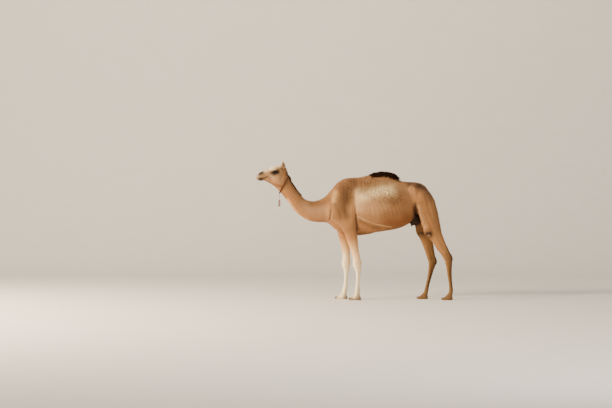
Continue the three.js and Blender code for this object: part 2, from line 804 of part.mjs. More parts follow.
// ---- torso, hump and tail ---------------------------------------------------------------------
const NECK_CUT = { point: V(-372, 0, 1470), normal: V(0.924, 0, -0.382).normalize() };
const HUMP_CUT = { point: V(110, 0, 1921), normal: V(0.1, 0, 1).normalize() };
const TAIL_CUT = { point: V(1184, 0, 1620), normal: V(0.55, 0, -0.835).normalize() };
const TRUNK_LINE = [
  NECK_CUT.point.clone().addScaledVector(NECK_CUT.normal, GAP / 2),
  V(-200, 0, 1480), V(300, 0, 1520), V(800, 0, 1580), V(1050, 0, 1585), V(1215, 0, 1545),
];
const TRUNK_RINGS = spaced([7, 0.15], [15, 0.82], [9, 1]);
const TRUNK_SIDES = 30;
const TAIL_LINE = TAIL_STATIONS.map(([x, y, z]) => V(x, y, z));

/** The tail, swollen by a given amount. */
function tailNet(swell = 0) {
  const field = melt([TAIL]);
  const rings = ringsAlong(TAIL_LINE, spaced([17, 0.99]));
  return solid(castNet(onField((p) => field(p) - swell), rings, 10, { roundStart: true, roundEnd: true }));
}

const trunkRings = ringsAlong(TRUNK_LINE, TRUNK_RINGS, { startAxis: NECK_CUT.normal, share: 0.35 });
const trunkField = melt([...TRUNK, ...LEGS.flatMap(cutForms)]);
let trunk = solid(castNet(onField(trunkField), trunkRings, TRUNK_SIDES, { roundEnd: true }));
for (const name of LEGS) trunk = trunk.add(limbRoot(name));
for (const name of LEGS) trunk = trunk.subtract(limbRoom(name));
const tailRoomStart = TAIL_CUT.point.clone().addScaledVector(TAIL_CUT.normal, -GAP);
trunk = beyond(trunk.subtract(udderBag(GAP * 1.1)), NECK_CUT.point, NECK_CUT.normal)
  .add(beyond(tailNet(), TAIL_CUT.point, TAIL_CUT.normal.clone().negate()))
  .subtract(beyond(tailNet(GAP * 1.1), tailRoomStart, TAIL_CUT.normal));

addPart("torso", beyond(trunk, HUMP_CUT.point, HUMP_CUT.normal.clone().negate()), COAT);

const TUFT = { from: 262, to: 618, rows: 11, turns: [-36, -18, 0, 18, 36], shift: 8, middleZ: 1780 };
const tuftRoots = spaced([TUFT.rows - 1, 1]).flatMap((t, row) =>
  TUFT.turns.map((degrees) => {
    const angle = ((degrees + (row % 2 ? TUFT.shift : 0)) * Math.PI) / 180;
    const middle = V(TUFT.from + (TUFT.to - TUFT.from) * t, 0, TUFT.middleZ);
    const root = cast(trunkField, middle, V(0, Math.sin(angle), Math.cos(angle)));
    return { root, lie: V(1, 0.5 * Math.sin(angle), -0.15) };
  }),
);
const TUFT_LOCK = { length: 84, width: 36, thick: 9, lift: 22 };
const hump = withLocks(trunk, trunkField, tuftRoots, TUFT_LOCK, seeded(11));
addPart("hump", beyond(hump, HUMP_CUT.point, HUMP_CUT.normal), DARK_HAIR);

const BRUSH = { from: 1345, to: 1225, rows: 4, turns: [0, 120, 240], shift: 60 };
const BRUSH_LOCK = { length: 88, width: 20, thick: 6, lift: 9 };
const tailField = melt([TAIL]);
const tailCurve = new THREE.CatmullRomCurve3(TAIL_LINE, false, CENTRIPETAL);
const tailMiddle = (z) => spaced([60, 1]).map((t) => tailCurve.getPointAt(t)).find((p) => p.z <= z);
const brushRoots = spaced([BRUSH.rows - 1, 1]).flatMap((t, row) =>
  BRUSH.turns.map((degrees) => {
    const angle = ((degrees + (row % 2 ? BRUSH.shift : 0)) * Math.PI) / 180;
    const middle = tailMiddle(BRUSH.from + (BRUSH.to - BRUSH.from) * t);
    const root = cast(tailField, middle, V(Math.cos(angle), Math.sin(angle), 0));
    return { root, lie: V(0.04, 0, -1) };
  }),
);
const tail = beyond(tailNet(), TAIL_CUT.point, TAIL_CUT.normal);
addPart("tail", withLocks(tail, tailField, brushRoots, BRUSH_LOCK, seeded(5)), COAT);

// ---- neck -------------------------------------------------------------------------------------
const HEAD_CUT = { point: V(-1115, 0, 1835), normal: V(0.915, 0, -0.404).normalize() };
const BEND_CUT = { point: V(-815, 0, 1455), normal: V(0.76, 0, -0.65).normalize() };
const neckField = melt([...HEAD, ...TRUNK, ...LEGS.flatMap(cutForms)]);
const NECK_SIDES = 22;

/** The ends of two neighbours at a cut: each half a gap from it. */
const endAt = (cut, side) => cut.point.clone().addScaledVector(cut.normal, (side * GAP) / 2);

/** A length of the neck between two cuts, through points on its middle, with rings at some places. */
function neckLength(start, through, end, places) {
  const line = [endAt(start, 1), ...through.map(([x, z]) => V(x, 0, z)), endAt(end, -1)];
  const rings = ringsAlong(line, places, { startAxis: start.normal, endAxis: end.normal });
  const net = solid(castNet(onField(neckField), rings, NECK_SIDES));
  return beyond(beyond(net, start.point, start.normal), end.point, end.normal.clone().negate());
}

const MANE = { from: [-1004, 1848], to: [-818, 1607], rows: 16, spread: 11, share: 0.82 };
const MANE_LOCK = { length: 70, width: 34, thick: 8, lift: 10 };
const maneLie = V(MANE.to[0] - MANE.from[0], 0, MANE.to[1] - MANE.from[1]).normalize();
const maneRoots = spaced([MANE.rows - 1, 1]).map((t, row) => {
  const middle = V(MANE.from[0], 0, MANE.from[1]).lerp(V(MANE.to[0], 0, MANE.to[1]), t * MANE.share);
  middle.y = MANE.spread * (row % 2 ? 1 : -1);
  return { root: settled(neckField, middle), lie: maneLie };
});
const upperNeck = neckLength(HEAD_CUT, [[-1050, 1728], [-940, 1588]], BEND_CUT, spaced([7, 0.35], [6, 1]));
addPart("neck_upper", withLocks(upperNeck, neckField, maneRoots, MANE_LOCK, seeded(3)), COAT);
const lowerNeck = neckLength(BEND_CUT, [[-660, 1382], [-510, 1400]], NECK_CUT, spaced([10, 1]));
addPart("neck_lower", lowerNeck, COAT);

// ---- head -------------------------------------------------------------------------------------
const HEAD_LINE = [
  V(-1472, 0, 1888), V(-1440, 0, 1902), V(-1340, 0, 1925), V(-1240, 0, 1925), V(-1165, 0, 1885),
  HEAD_CUT.point.clone().addScaledVector(HEAD_CUT.normal, -GAP / 2),
];
const headField = melt([...HEAD, NECK]);
const MUZZLE_LEANS = [-75, -58, -42, -28, -14]; // degrees; the rays of the muzzle's rounded front
const headRings = ringsAlong(HEAD_LINE, spaced([8, 0.26], [14, 1]), { endAxis: HEAD_CUT.normal });
const muzzleRings = MUZZLE_LEANS.map((degrees) => ({ ...headRings[0], lean: (degrees * Math.PI) / 180 }));
const headNet = castNet(onField(headField), [...muzzleRings, ...headRings], 28, { roundStart: true });
let head = solid(headNet);

/** A point under the skin of the head's side, at a place in the sagittal plane. */
const onSide = (x, z, side, depth) => cast((p) => headField(p) + depth, V(x, 0, z), V(0, side, 0));

const MOUTH_CORNER_TO_FRONT = [[-1345, 1908], [-1388, 1889], [-1430, 1873], [-1466, 1865]];
const MOUTH_FRONT = { x: -1456, z: 1866, turns: [-50, -18, 18, 50] };

/** The line of the mouth, round the muzzle on its skin from one corner to the other. */
function mouthLine() {
  const flank = (side) => MOUTH_CORNER_TO_FRONT.map(([x, z]) => onSide(x, z, side, 0));
  const front = MOUTH_FRONT.turns.map((degrees) => {
    const angle = (degrees * Math.PI) / 180;
    return cast(headField, V(MOUTH_FRONT.x, 0, MOUTH_FRONT.z), V(-Math.cos(angle), Math.sin(angle), 0));
  });
  return [...flank(-1), ...front, ...flank(1).reverse()];
}

head = head.subtract(rod(mouthLine(), 6, 2, 5, 13));
const LIP_SPLIT_HEIGHTS = [1868, 1884, 1902, 1920];
const lipSplit = LIP_SPLIT_HEIGHTS.map((z) => cast(headField, V(-1450, 0, z), ASTERN.clone().negate()));
head = head.subtract(rod(lipSplit, 6, 2, 4, 3));

/** A ball about a middle, stretched along the axes. */
function pearl(centre, radius, [sx, sy, sz] = [1, 1, 1]) {
  const geometry = new THREE.SphereGeometry(radius, 12, 8);
  geometry.scale(sx, sy, sz);
  geometry.translate(...centre.toArray());
  return solid(welded(geometry));
}

const EYE_SLIT = { out: 24, stretch: [1.2, 0.75, 0.62] };

const LID = { seat: 24.5, halfLength: 25, droop: 0.12, steps: 5 };
const LID_PLACES = [-1, -0.72, -0.3, 0.15, 0.6, 1];

/** One lid as an arc over the eyeball, its edge this high above (or below) the eye's middle. */
function lid(centre, side, height, thickness) {
  const path = LID_PLACES.map((s) => {
    const along = s * LID.halfLength;
    const up = height * (1 - s * s) ** 0.7;
    const out = Math.sqrt(Math.max(9, LID.seat ** 2 - along ** 2 - up ** 2));
    return V(centre.x + along, centre.y + side * out, centre.z + up - along * LID.droop);
  });
  return rod(path, thickness, 2.5, 5, LID.steps);
}

const EAR = {
  root: V(-1104, 58, 2022),
  lean: V(0.12, 0.42, 0.9).normalize(),
  facing: V(-0.62, 0.78, 0),
  length: 128,
  width: 19,
  belly: 13,
  wall: 7,
  stalk: -0.1,
  cut: 0.2,
  bow: 16,
};
const EAR_PLACES = [EAR.stalk, 0.1, 0.26, 0.42, 0.58, 0.74, 0.88, 0.98];
const EAR_ARC = 5;

/** One ear: a cupped blade that opens forwards and outwards, and its stalk for the head. */
function ear(side) {
  const mirrored = ({ x, y, z }) => V(x, side * y, z);
  const [root, lean, facing] = [mirrored(EAR.root), mirrored(EAR.lean), mirrored(EAR.facing)];
  facing.addScaledVector(lean, -facing.dot(lean)).normalize();
  const across = V(0, 0, 0).crossVectors(lean, facing).normalize();
  const stalkAt = (t) => root.clone().addScaledVector(lean, t * EAR.length);
  const on = (t) => stalkAt(t).addScaledVector(facing, EAR.bow * t * t);
  const rings = EAR_PLACES.map((t) => {
    const swell = EAR.belly * Math.sin(Math.PI * Math.max(0, Math.min(1, (t - 0.1) / 0.9)));
    const half = EAR.width + swell - 17 * Math.max(0, t - 0.55) ** 0.8;
    const cup = Math.min(1, Math.max(0, (t - 0.12) / 0.2));
    const at = (u, w) => on(t).addScaledVector(facing, u).addScaledVector(across, w);
    const turns = Array.from({ length: EAR_ARC + 1 }, (_, i) => -Math.PI / 2 + (Math.PI * i) / EAR_ARC);
    const inner = Math.max(half - EAR.wall * cup, 1.5);
    const bowl = (1 - cup) * half * 0.9 - cup * Math.max(half * 0.9 - EAR.wall, 0);
    const back = turns.map((a) => at(-half * Math.cos(a), half * Math.sin(a)));
    const front = turns.map((a) => at(bowl * Math.cos(a) + 1.2, inner * Math.sin(a)));
    return [...back, ...front.reverse()];
  });
  const whole = solid(closeRings(rings, on(EAR.stalk), on(1)));
  const cut = stalkAt(EAR.cut);
  return { blade: beyond(whole, cut, lean), stub: beyond(whole, cut, lean.clone().negate()) };
}

const NOSTRIL = [[-1476, 1944], [-1460, 1957], [-1438, 1968], [-1414, 1974]];
for (const [sideName, side] of Object.entries(SIDE)) {
  const centre = V(EYE.x, side * EYE.y, EYE.z);
  const { blade, stub } = ear(side);
  const rim = NOSTRIL.map(([x, z]) => onSide(x, z + 9, side, 3));
  const slit = NOSTRIL.map(([x, z]) => onSide(x, z, side, -1));
  head = head
    .subtract(pearl(V(centre.x, centre.y + side * EYE_SLIT.out, centre.z), EYE_RADIUS, EYE_SLIT.stretch))
    .add(lid(centre, side, 15, 6.5))
    .add(lid(centre, side, -12, 5))
    .subtract(pearl(centre, EYE_RADIUS + GAP * 1.5))
    .add(rod(rim, 8, 3, 5, 4))
    .subtract(rod(slit, 6, 2, 4, 4))
    .add(stub);
  addPart(`eye_${sideName}`, pearl(centre, EYE_RADIUS), EYE_GLOSS);
  addPart(`ear_${sideName}`, blade, FACE_COAT);
}
addPart("head", head, FACE_COAT);

// ---- collar and its pendant -------------------------------------------------------------------
const COLLAR = {
  middle: V(-1086, 0, 1788),
  axis: V(0.871, 0, -0.491).normalize(),
  clearance: 5,
  points: 16,
  steps: 32,
  sides: 6,
};
const throatward = V(0, 0, 0).crossVectors(COLLAR.axis, LATERAL).normalize();
if (throatward.z > 0) throatward.negate();
const collarPoints = Array.from({ length: COLLAR.points }, (_, i) => {
  const angle = (2 * Math.PI * i) / COLLAR.points;
  const ray = throatward.clone().multiplyScalar(Math.cos(angle)).addScaledVector(LATERAL, Math.sin(angle));
  return cast(neckField, COLLAR.middle, ray).addScaledVector(ray, COLLAR_RADIUS + COLLAR.clearance);
});

/** A closed loop of rope through points, its section kept square to the loop. */
function loop(points, radius, sides, steps, reference) {
  const curve = new THREE.CatmullRomCurve3(points, true, CENTRIPETAL);
  const rings = Array.from({ length: steps }, (_, i) =>
    circle(curve.getPointAt(i / steps), curve.getTangentAt(i / steps).normalize(), radius, sides, reference),
  );
  return solid(meshOf(rings.flat(), bands([...rings, rings[0]], sides, steps * sides)));
}

const KNOT = { radius: 14, flat: 10, drop: 6 };
const knotMiddle = collarPoints[0].clone().addScaledVector(throatward, KNOT.drop);
const knotGeometry = new THREE.IcosahedronGeometry(KNOT.radius, 1);
knotGeometry.translate(...knotMiddle.toArray());
const knotBase = knotMiddle.clone().addScaledVector(DOWN, KNOT.flat);
const knot = beyond(solid(welded(knotGeometry)), knotBase, DOWN.clone().negate());
const rope = loop(collarPoints, COLLAR_RADIUS, COLLAR.sides, COLLAR.steps, COLLAR.axis);
addPart("collar", rope.add(knot), ROPE);

/** Places pendant pieces one under the other, face to face. */
let hangZ = knotBase.z + GAP / 2;
function hang(name, geometry, height, material, dx = 0, last = true) {
  geometry.translate(knotBase.x + dx, 0, hangZ - GAP - height / 2);
  addPart(name, solid(welded(geometry)), material);
  if (last) hangZ -= GAP + height;
}

const cordShape = new THREE.Shape();
cordShape.absarc(0, 0, CORD_RADIUS, 0, 2 * Math.PI);
const cordPath = new THREE.LineCurve3(V(0, 0, CORD_LENGTH / 2), V(0, 0, -CORD_LENGTH / 2));
const cordOptions = { steps: 8, curveSegments: 4, extrudePath: cordPath };
hang("pendant_cord", new THREE.ExtrudeGeometry(cordShape, cordOptions), CORD_LENGTH, ROPE);

/** An upright cylinder, narrower or wider at its foot. */
function upright(topRadius, footRadius, height) {
  const geometry = new THREE.CylinderGeometry(topRadius, footRadius, height, 12);
  geometry.rotateX(Math.PI / 2);
  return geometry;
}

const PENDANT = { cap: 14, tassel: 66, tasselWidth: 16, tasselDepth: 12, weight: 14 };
hang("pendant_cap", upright(9, 17, PENDANT.cap), PENDANT.cap, HORN);
const tassel = () => new THREE.BoxGeometry(PENDANT.tasselWidth, PENDANT.tasselDepth, PENDANT.tassel);
const halfApart = (PENDANT.tasselWidth + GAP) / 2;
hang("pendant_tassel_green", tassel(), PENDANT.tassel, GREEN, -halfApart, false);
hang("pendant_tassel_red", tassel(), PENDANT.tassel, RED, halfApart);
hang("pendant_weight", upright(17, 24, PENDANT.weight), PENDANT.weight, HORN);

export default model;
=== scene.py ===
"""A standing female dromedary, life size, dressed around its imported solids.

The flesh is one field in millimetres: tapered oval strands and oval balls that melt into each
other. The field is worked out on a grid as whole arrays, and a net laid through the grid's cells
gives one skin without seams. The coat is solid tufts rooted on that skin.
"""

import logging
import math
from dataclasses import dataclass, field, replace
from enum import Enum
from functools import partial
from typing import Callable, Iterator, Sequence

import bpy
import numpy as np
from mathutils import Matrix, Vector
from numpy.linalg import norm
from numpy.typing import NDArray


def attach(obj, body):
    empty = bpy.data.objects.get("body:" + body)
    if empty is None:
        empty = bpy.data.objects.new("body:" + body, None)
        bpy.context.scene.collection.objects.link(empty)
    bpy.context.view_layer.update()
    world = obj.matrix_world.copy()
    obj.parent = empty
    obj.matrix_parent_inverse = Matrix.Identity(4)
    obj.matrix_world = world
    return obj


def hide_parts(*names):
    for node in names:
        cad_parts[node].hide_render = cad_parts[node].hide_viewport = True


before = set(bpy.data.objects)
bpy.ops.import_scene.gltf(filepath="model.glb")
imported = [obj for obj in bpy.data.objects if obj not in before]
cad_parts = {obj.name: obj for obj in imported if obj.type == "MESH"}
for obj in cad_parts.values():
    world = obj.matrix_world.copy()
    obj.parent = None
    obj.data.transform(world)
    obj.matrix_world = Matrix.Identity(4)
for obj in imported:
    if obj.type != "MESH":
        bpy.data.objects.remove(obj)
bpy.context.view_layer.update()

Array = NDArray[np.float64]
Whole = NDArray[np.int64]
Field = Callable[[Array], Array]
Station = tuple[float, float, float, float, float]
Spot = tuple[float, float, float]
Path = tuple[Spot, ...]
Rgb = Spot
Draws = np.random.Generator
Piece = bpy.types.Object
Node = bpy.types.Node

log = logging.getLogger("dromedary")

MM = 0.001
LATERAL = np.array([0.0, 1.0, 0.0])
FAR = 1000.0
TINY = 1e-9
SIDES = (-1, 1)  # the animal's left side faces -Y
SIDE_NAMES = {-1: "left", 1: "right"}
COLOUR = "coat_colour"
BAKE_MAP = "OFBake"
BODY = "root"


# ---- the flesh as a field ----
@dataclass(frozen=True)
class Strand:
    """A tapered chain of oval sections through stations [x, y, z, half-depth, half-width]."""

    stations: tuple[Station, ...]
    blend: float = 60.0
    steps: int = 4

    def rows(self) -> Array:
        """The stations with smooth ones between them.

        Returns:
            Catmull-Rom values: half of 2b + (c-a)t + (2a-5b+4c-d)t^2 + (3b-a-3c+d)t^3.
        """
        told = np.array(self.stations, float)
        last = len(told) - 1
        i = np.repeat(np.arange(last), self.steps)
        t = (np.tile(np.arange(self.steps), last) / self.steps)[:, None]
        a, b = told[np.maximum(i - 1, 0)], told[i]
        c, d = told[i + 1], told[np.minimum(i + 2, last)]
        curve = 2 * b + (c - a) * t + (2 * a - 5 * b + 4 * c - d) * t**2
        curve += (3 * b - a - 3 * c + d) * t**3
        return np.vstack([0.5 * curve, told[-1]])

    def mirrored(self) -> "Strand":
        """The same strand on the other side of the midline."""
        return replace(self, stations=tuple((x, -y, z, d, w) for x, y, z, d, w in self.stations))

    def reach(self) -> tuple[Array, Array]:
        """The lowest and the highest corner of the box round the strand."""
        rows = self.rows()
        wide = rows[:, 3:].max(1)[:, None]
        return (rows[:, :3] - wide).min(0), (rows[:, :3] + wide).max(0)

    def value(self, points: Array) -> Array:
        """How far points lie outside the strand.

        Args:
            points: the places.

        Returns:
            For each piece between two rows, the distance from its line times 1 - 1/e, where e is
            the same distance measured in half-depths and half-widths; the least over all pieces.
        """
        rows = self.rows()
        best = np.full(len(points), np.inf)
        for a, b in zip(rows[:-1], rows[1:]):
            axis = b[:3] - a[:3]
            length = float(norm(axis))
            along = axis / length
            across = LATERAL - along * along[1]
            across /= norm(across)
            up = np.cross(along, across)
            q = points - a[:3]
            run = q @ along
            t = np.clip(run / length, 0, 1)
            depth = a[3] + (b[3] - a[3]) * t
            width = a[4] + (b[4] - a[4]) * t
            past = run - t * length
            u, v = q @ up, q @ across
            e = (u / depth) ** 2 + (v / width) ** 2 + (past / np.minimum(depth, width)) ** 2
            near = np.sqrt(u**2 + v**2 + past**2) * (1 - 1 / (np.sqrt(e) + TINY))
            np.minimum(best, near, out=best)
        return best


@dataclass(frozen=True)
class Ball:
    """An oval ball, turned nose-down about the lateral axis by pitch degrees."""

    middle: Spot
    radii: Spot
    blend: float = 30.0
    pitch: float = 0.0

    def mirrored(self) -> "Ball":
        """The same ball on the other side of the midline."""
        x, y, z = self.middle
        return replace(self, middle=(x, -y, z))

    def reach(self) -> tuple[Array, Array]:
        """The lowest and the highest corner of the box round the ball."""
        middle, wide = np.array(self.middle), max(self.radii)
        return middle - wide, middle + wide

    def value(self, points: Array) -> Array:
        """How far points lie outside the ball.

        Args:
            points: the places.

        Returns:
            The distance from the middle times 1 - 1/e, e being that distance in radii.
        """
        q = points - np.array(self.middle)
        c, s = math.cos(math.radians(self.pitch)), math.sin(math.radians(self.pitch))
        u, w = q[:, 0] * c - q[:, 2] * s, q[:, 0] * s + q[:, 2] * c
        rx, ry, rz = self.radii
        e = np.sqrt((u / rx) ** 2 + (q[:, 1] / ry) ** 2 + (w / rz) ** 2) + TINY
        return norm(q, axis=1) * (1 - 1 / e)


Form = Strand | Ball


def melt_into(known: Array, new: Array, blend: float) -> Array:
    """The lesser value less h*h*blend/4, h being 1 less their difference over the blend."""
    h = np.maximum(blend - np.abs(known - new), 0) / blend
    return np.minimum(known, new) - h * h * blend / 4


def melted(forms: Sequence[Form], points: Array) -> Array:
    """The melted value of forms at points; a form counts only near its own box.

    Args:
        forms: the forms in the order in which they melt.
        points: the places.

    Returns:
        One value to a point, negative inside.
    """
    values = np.full(len(points), FAR)
    for form in forms:
        low, high = form.reach()
        margin = form.blend + NEAR
        near = np.all((points > low - margin) & (points < high + margin), axis=1)
        if near.any():
            values[near] = melt_into(values[near], form.value(points[near]), form.blend)
    return values


NEAR = 30.0  # how far outside its own box a form is still worked out


def both(form: Form) -> list[Form]:
    """A form of the right side, after its mirror image on the left, as in SIDES."""
    return [form.mirrored(), form]


# ---- the animal's forms ----
BARREL = Strand((
    (-300, 0, 1430, 262, 136), (-150, 0, 1420, 345, 190), (50, 0, 1400, 385, 240),
    (250, 0, 1400, 366, 268), (450, 0, 1425, 362, 278), (620, 0, 1447, 350, 268),
    (760, 0, 1482, 308, 236), (880, 0, 1530, 255, 200), (980, 0, 1560, 205, 165),
    (1060, 0, 1540, 140, 124),
))
RIDGE = Strand((
    (-285, 0, 1632, 84, 64), (-200, 0, 1728, 106, 72), (-56, 0, 1775, 108, 78),
    (143, 0, 1790, 108, 84), (350, 0, 1795, 108, 95), (550, 0, 1785, 103, 98),
    (700, 0, 1740, 98, 98), (850, 0, 1722, 97, 104), (940, 0, 1715, 99, 112),
    (1023, 0, 1692, 94, 106), (1085, 0, 1624, 64, 88), (1135, 0, 1556, 58, 74),
), 90)
HUMP = [
    Ball((455, 0, 1832), (228, 112, 122), 60),
    Ball((285, 0, 1826), (195, 100, 94), 60),
]
HUMP_CORE = Strand((
    (300, 0, 1912, 24, 24), (380, 0, 1928, 32, 38), (480, 0, 1930, 31, 40),
    (577, 0, 1914, 28, 36), (640, 0, 1880, 22, 26),
), 30)
BREAST = Strand((
    (-305, 0, 1270, 90, 108), (-250, 0, 1186, 96, 108), (-150, 0, 1130, 92, 98),
    (40, 0, 1108, 92, 84), (200, 0, 1118, 88, 92),
), 80)
CHEST_PAD = Ball((40, 0, 1030), (82, 58, 34), 24)
SHOULDER = both(Strand((
    (-85, 72, 1785, 80, 40), (-165, 116, 1640, 100, 54),
    (-235, 149, 1470, 105, 60), (-275, 158, 1330, 90, 62),
), 100))
HAUNCH = both(Strand((
    (930, 158, 1712, 58, 48), (995, 148, 1635, 96, 76), (1045, 140, 1545, 128, 96),
), 70))
HIP_POINT = both(Ball((932, 166, 1722), (54, 44, 38), 80))
SEAT_BONE = both(Ball((1142, 90, 1585), (46, 42, 60), 60))
CROTCH = Strand((
    (1050, 0, 1580, 84, 76), (1072, 0, 1500, 96, 70), (1082, 0, 1425, 92, 62),
    (1080, 0, 1385, 72, 56),
), 70)
NECK = Strand((
    (-1112, 0, 1850, 118, 72), (-1092, 0, 1795, 117, 72), (-1050, 0, 1728, 115, 73),
    (-945, 0, 1588, 110, 76), (-825, 0, 1452, 126, 82), (-660, 0, 1374, 155, 92),
    (-507, 0, 1374, 177, 104), (-400, 0, 1402, 196, 118), (-310, 0, 1424, 222, 130),
), 90)
UPPER_LIP = both(Strand((
    (-1345, 36, 1919, 7, 7), (-1388, 35, 1901, 10, 10), (-1430, 35, 1885, 12, 11),
    (-1466, 38, 1877, 13, 12), (-1490, 33, 1877, 14, 13), (-1504, 18, 1877, 15, 14),
    (-1508, 4, 1877, 15, 14),
), 12))
LOWER_LIP = both(Strand((
    (-1360, 33, 1892, 7, 7), (-1388, 32, 1878, 9, 9), (-1430, 27, 1862, 10, 10),
    (-1460, 22, 1855, 11, 11), (-1475, 12, 1855, 11, 11), (-1479, 3, 1855, 11, 11),
), 12))
HEAD = [
    Strand((
        (-1140, 0, 2000, 84, 72), (-1235, 0, 1990, 84, 74), (-1310, 0, 1972, 70, 58),
        (-1385, 0, 1950, 58, 48), (-1445, 0, 1925, 51, 48), (-1476, 0, 1906, 40, 44),
    ), 30),
    Strand((
        (-1140, 0, 1822, 88, 56), (-1225, 0, 1842, 76, 54), (-1310, 0, 1862, 56, 44),
        (-1390, 0, 1882, 38, 36), (-1452, 0, 1872, 25, 32),
    ), 40),
    Ball((-1098, 0, 1995), (54, 58, 66), 40),
    *both(Ball((-1180, 40, 1890), (78, 36, 84), 34)),
    *both(Ball((-1228, 72, 2006), (56, 28, 27), 40, -8)),
    *both(Ball((-1205, 58, 1936), (84, 28, 32), 50, -12)),
    *both(Ball((-1452, 34, 1948), (34, 18, 26), 20, -30)),
    *both(Ball((-1486, 20, 1888), (30, 28, 30), 18)),
    Ball((-1448, 0, 1856), (32, 28, 16), 16),
    *UPPER_LIP,
    *LOWER_LIP,
]
TAIL = Strand((
    (1092, 0, 1674, 34, 30), (1150, 0, 1650, 28, 26), (1196, 0, 1590, 23, 22),
    (1232, 0, 1510, 20, 19), (1254, 0, 1424, 17, 16), (1266, 0, 1338, 17, 16),
    (1273, 0, 1250, 18, 16), (1275, 0, 1190, 8, 8),
), 14)
TRUNK = [
    BARREL, RIDGE, *HUMP, HUMP_CORE, BREAST, CROTCH, NECK, CHEST_PAD,
    *SHOULDER, *HAUNCH, *HIP_POINT, *SEAT_BONE,
]


class End(Enum):
    """Which pair a leg belongs to."""

    FRONT = "front"
    HIND = "hind"


# Half-depth and half-width of a leg by station, from the top down.
LEG_SIZES = {
    End.FRONT: (
        (114, 76), (104, 70), (86, 60), (65, 50), (59, 50), (61, 54),
        (49, 45), (35, 33), (33, 31), (40, 41), (42, 44), (52, 54),
    ),
    End.HIND: (
        (110, 90), (144, 100), (154, 94), (140, 84), (128, 76), (98, 62), (84, 52), (73, 44),
        (64, 45), (56, 41), (44, 35), (35, 30), (31, 29), (34, 37), (38, 42), (48, 52),
    ),
}
TOP_SPREAD = {End.FRONT: 160.0, End.HIND: 142.0}
SOLE_SPREAD = 150.0
FOOT_REACH = 20.0


@dataclass(frozen=True)
class Leg:
    """One leg: the x and z that its stations hold in the pose."""

    end: End
    side: int
    pose: tuple[tuple[float, float], ...]
    foot_size: float

    @property
    def name(self) -> str:
        """The leg's name in the nodes."""
        return f"{self.end.value}_%s_{SIDE_NAMES[self.side]}"

    def node(self, piece: str) -> str:
        """The name of the node of one piece of the leg."""
        return self.name % piece

    def lower(self) -> Strand:
        """The leg's strand: its sizes hung on its pose, coming in to the sole's spread."""
        sizes = LEG_SIZES[self.end]
        top = TOP_SPREAD[self.end]
        rows = [
            (x, self.side * (top + (SOLE_SPREAD - top) * min(1, i / (len(sizes) / 2))), z, *size)
            for i, ((x, z), size) in enumerate(zip(self.pose, sizes))
        ]
        return Strand(tuple(rows), 50)

    def upper(self) -> list[Form]:
        """What joins the leg to the trunk: shoulder blade and upper arm, or haunch."""
        if self.end is End.HIND:
            return [HAUNCH[SIDES.index(self.side)]]
        elbow = self.pose[0][0] - 12
        arm = Strand((
            (-275, self.side * 162, 1330, 82, 60),
            (elbow / 2 - 138, self.side * 168, 1237, 100, 64),
            (elbow, self.side * 165, 1150, 114, 70),
        ), 70)
        return [SHOULDER[SIDES.index(self.side)], arm]

    def points(self) -> list[Form]:
        """The leg's bony points: behind and before the knee, or the hock's and the stifle's."""
        y = self.side * SOLE_SPREAD
        if self.end is End.FRONT:
            x, z = self.pose[5]
            return [
                Ball((x + 36, y, z + 26), (28, 24, 44), 40),
                Ball((x - 32, y, z + 4), (28, 38, 64), 40),
            ]
        (hock_x, hock_z), (stifle_x, stifle_z) = self.pose[8], self.pose[4]
        return [
            Ball((hock_x + 46, y, hock_z + 12), (24, 22, 52), 30, -16),
            Ball((stifle_x - 84, y * 1.02, stifle_z + 6), (46, 54, 74), 60),
        ]

    def foot(self) -> list[Form]:
        """A two-toed foot: a broad pad that spreads from the pastern, parted in front."""
        y, k = self.side * SOLE_SPREAD, self.foot_size
        x = self.pose[-1][0] - FOOT_REACH
        toe = (62 * k, 38 * k, 36)
        return [
            Ball((x + 22 * k, y, 20), (72 * k, 76 * k, 48), 34),
            Ball((x - 36 * k, y - 34 * k, 12), toe, 22),
            Ball((x - 36 * k, y + 34 * k, 12), toe, 22),
        ]

    def forms(self) -> list[Form]:
        """All the forms of the leg, in the order in which they melt."""
        return [*self.upper(), self.lower(), *self.points(), *self.foot()]


LEGS = (
    Leg(End.FRONT, -1, (
        (-72, 1190), (-62, 1079), (-31, 924), (5, 769), (31, 655), (43, 552),
        (56, 474), (59, 381), (54, 257), (46, 168), (44, 95), (34, 42),
    ), 1.0),
    Leg(End.FRONT, 1, (
        (-150, 1190), (-160, 1079), (-143, 924), (-124, 769), (-119, 655), (-121, 542),
        (-119, 465), (-120, 376), (-124, 262), (-137, 175), (-150, 100), (-172, 42),
    ), 1.0),
    Leg(End.HIND, -1, (
        (1052, 1590), (1094, 1497), (1131, 1358), (1180, 1187), (1217, 1063), (1277, 955),
        (1340, 831), (1396, 738), (1443, 645), (1456, 575), (1463, 490), (1471, 366),
        (1486, 226), (1491, 150), (1480, 92), (1455, 42),
    ), 0.9),
    Leg(End.HIND, 1, (
        (1030, 1590), (1062, 1497), (1082, 1358), (1098, 1187), (1108, 1063), (1122, 955),
        (1158, 838), (1186, 727), (1221, 588), (1216, 522), (1201, 452), (1178, 345),
        (1149, 226), (1132, 147), (1118, 92), (1092, 42),
    ), 0.9),
)
FLESH = [*HEAD, *TRUNK, *(form for leg in LEGS for form in leg.forms())]


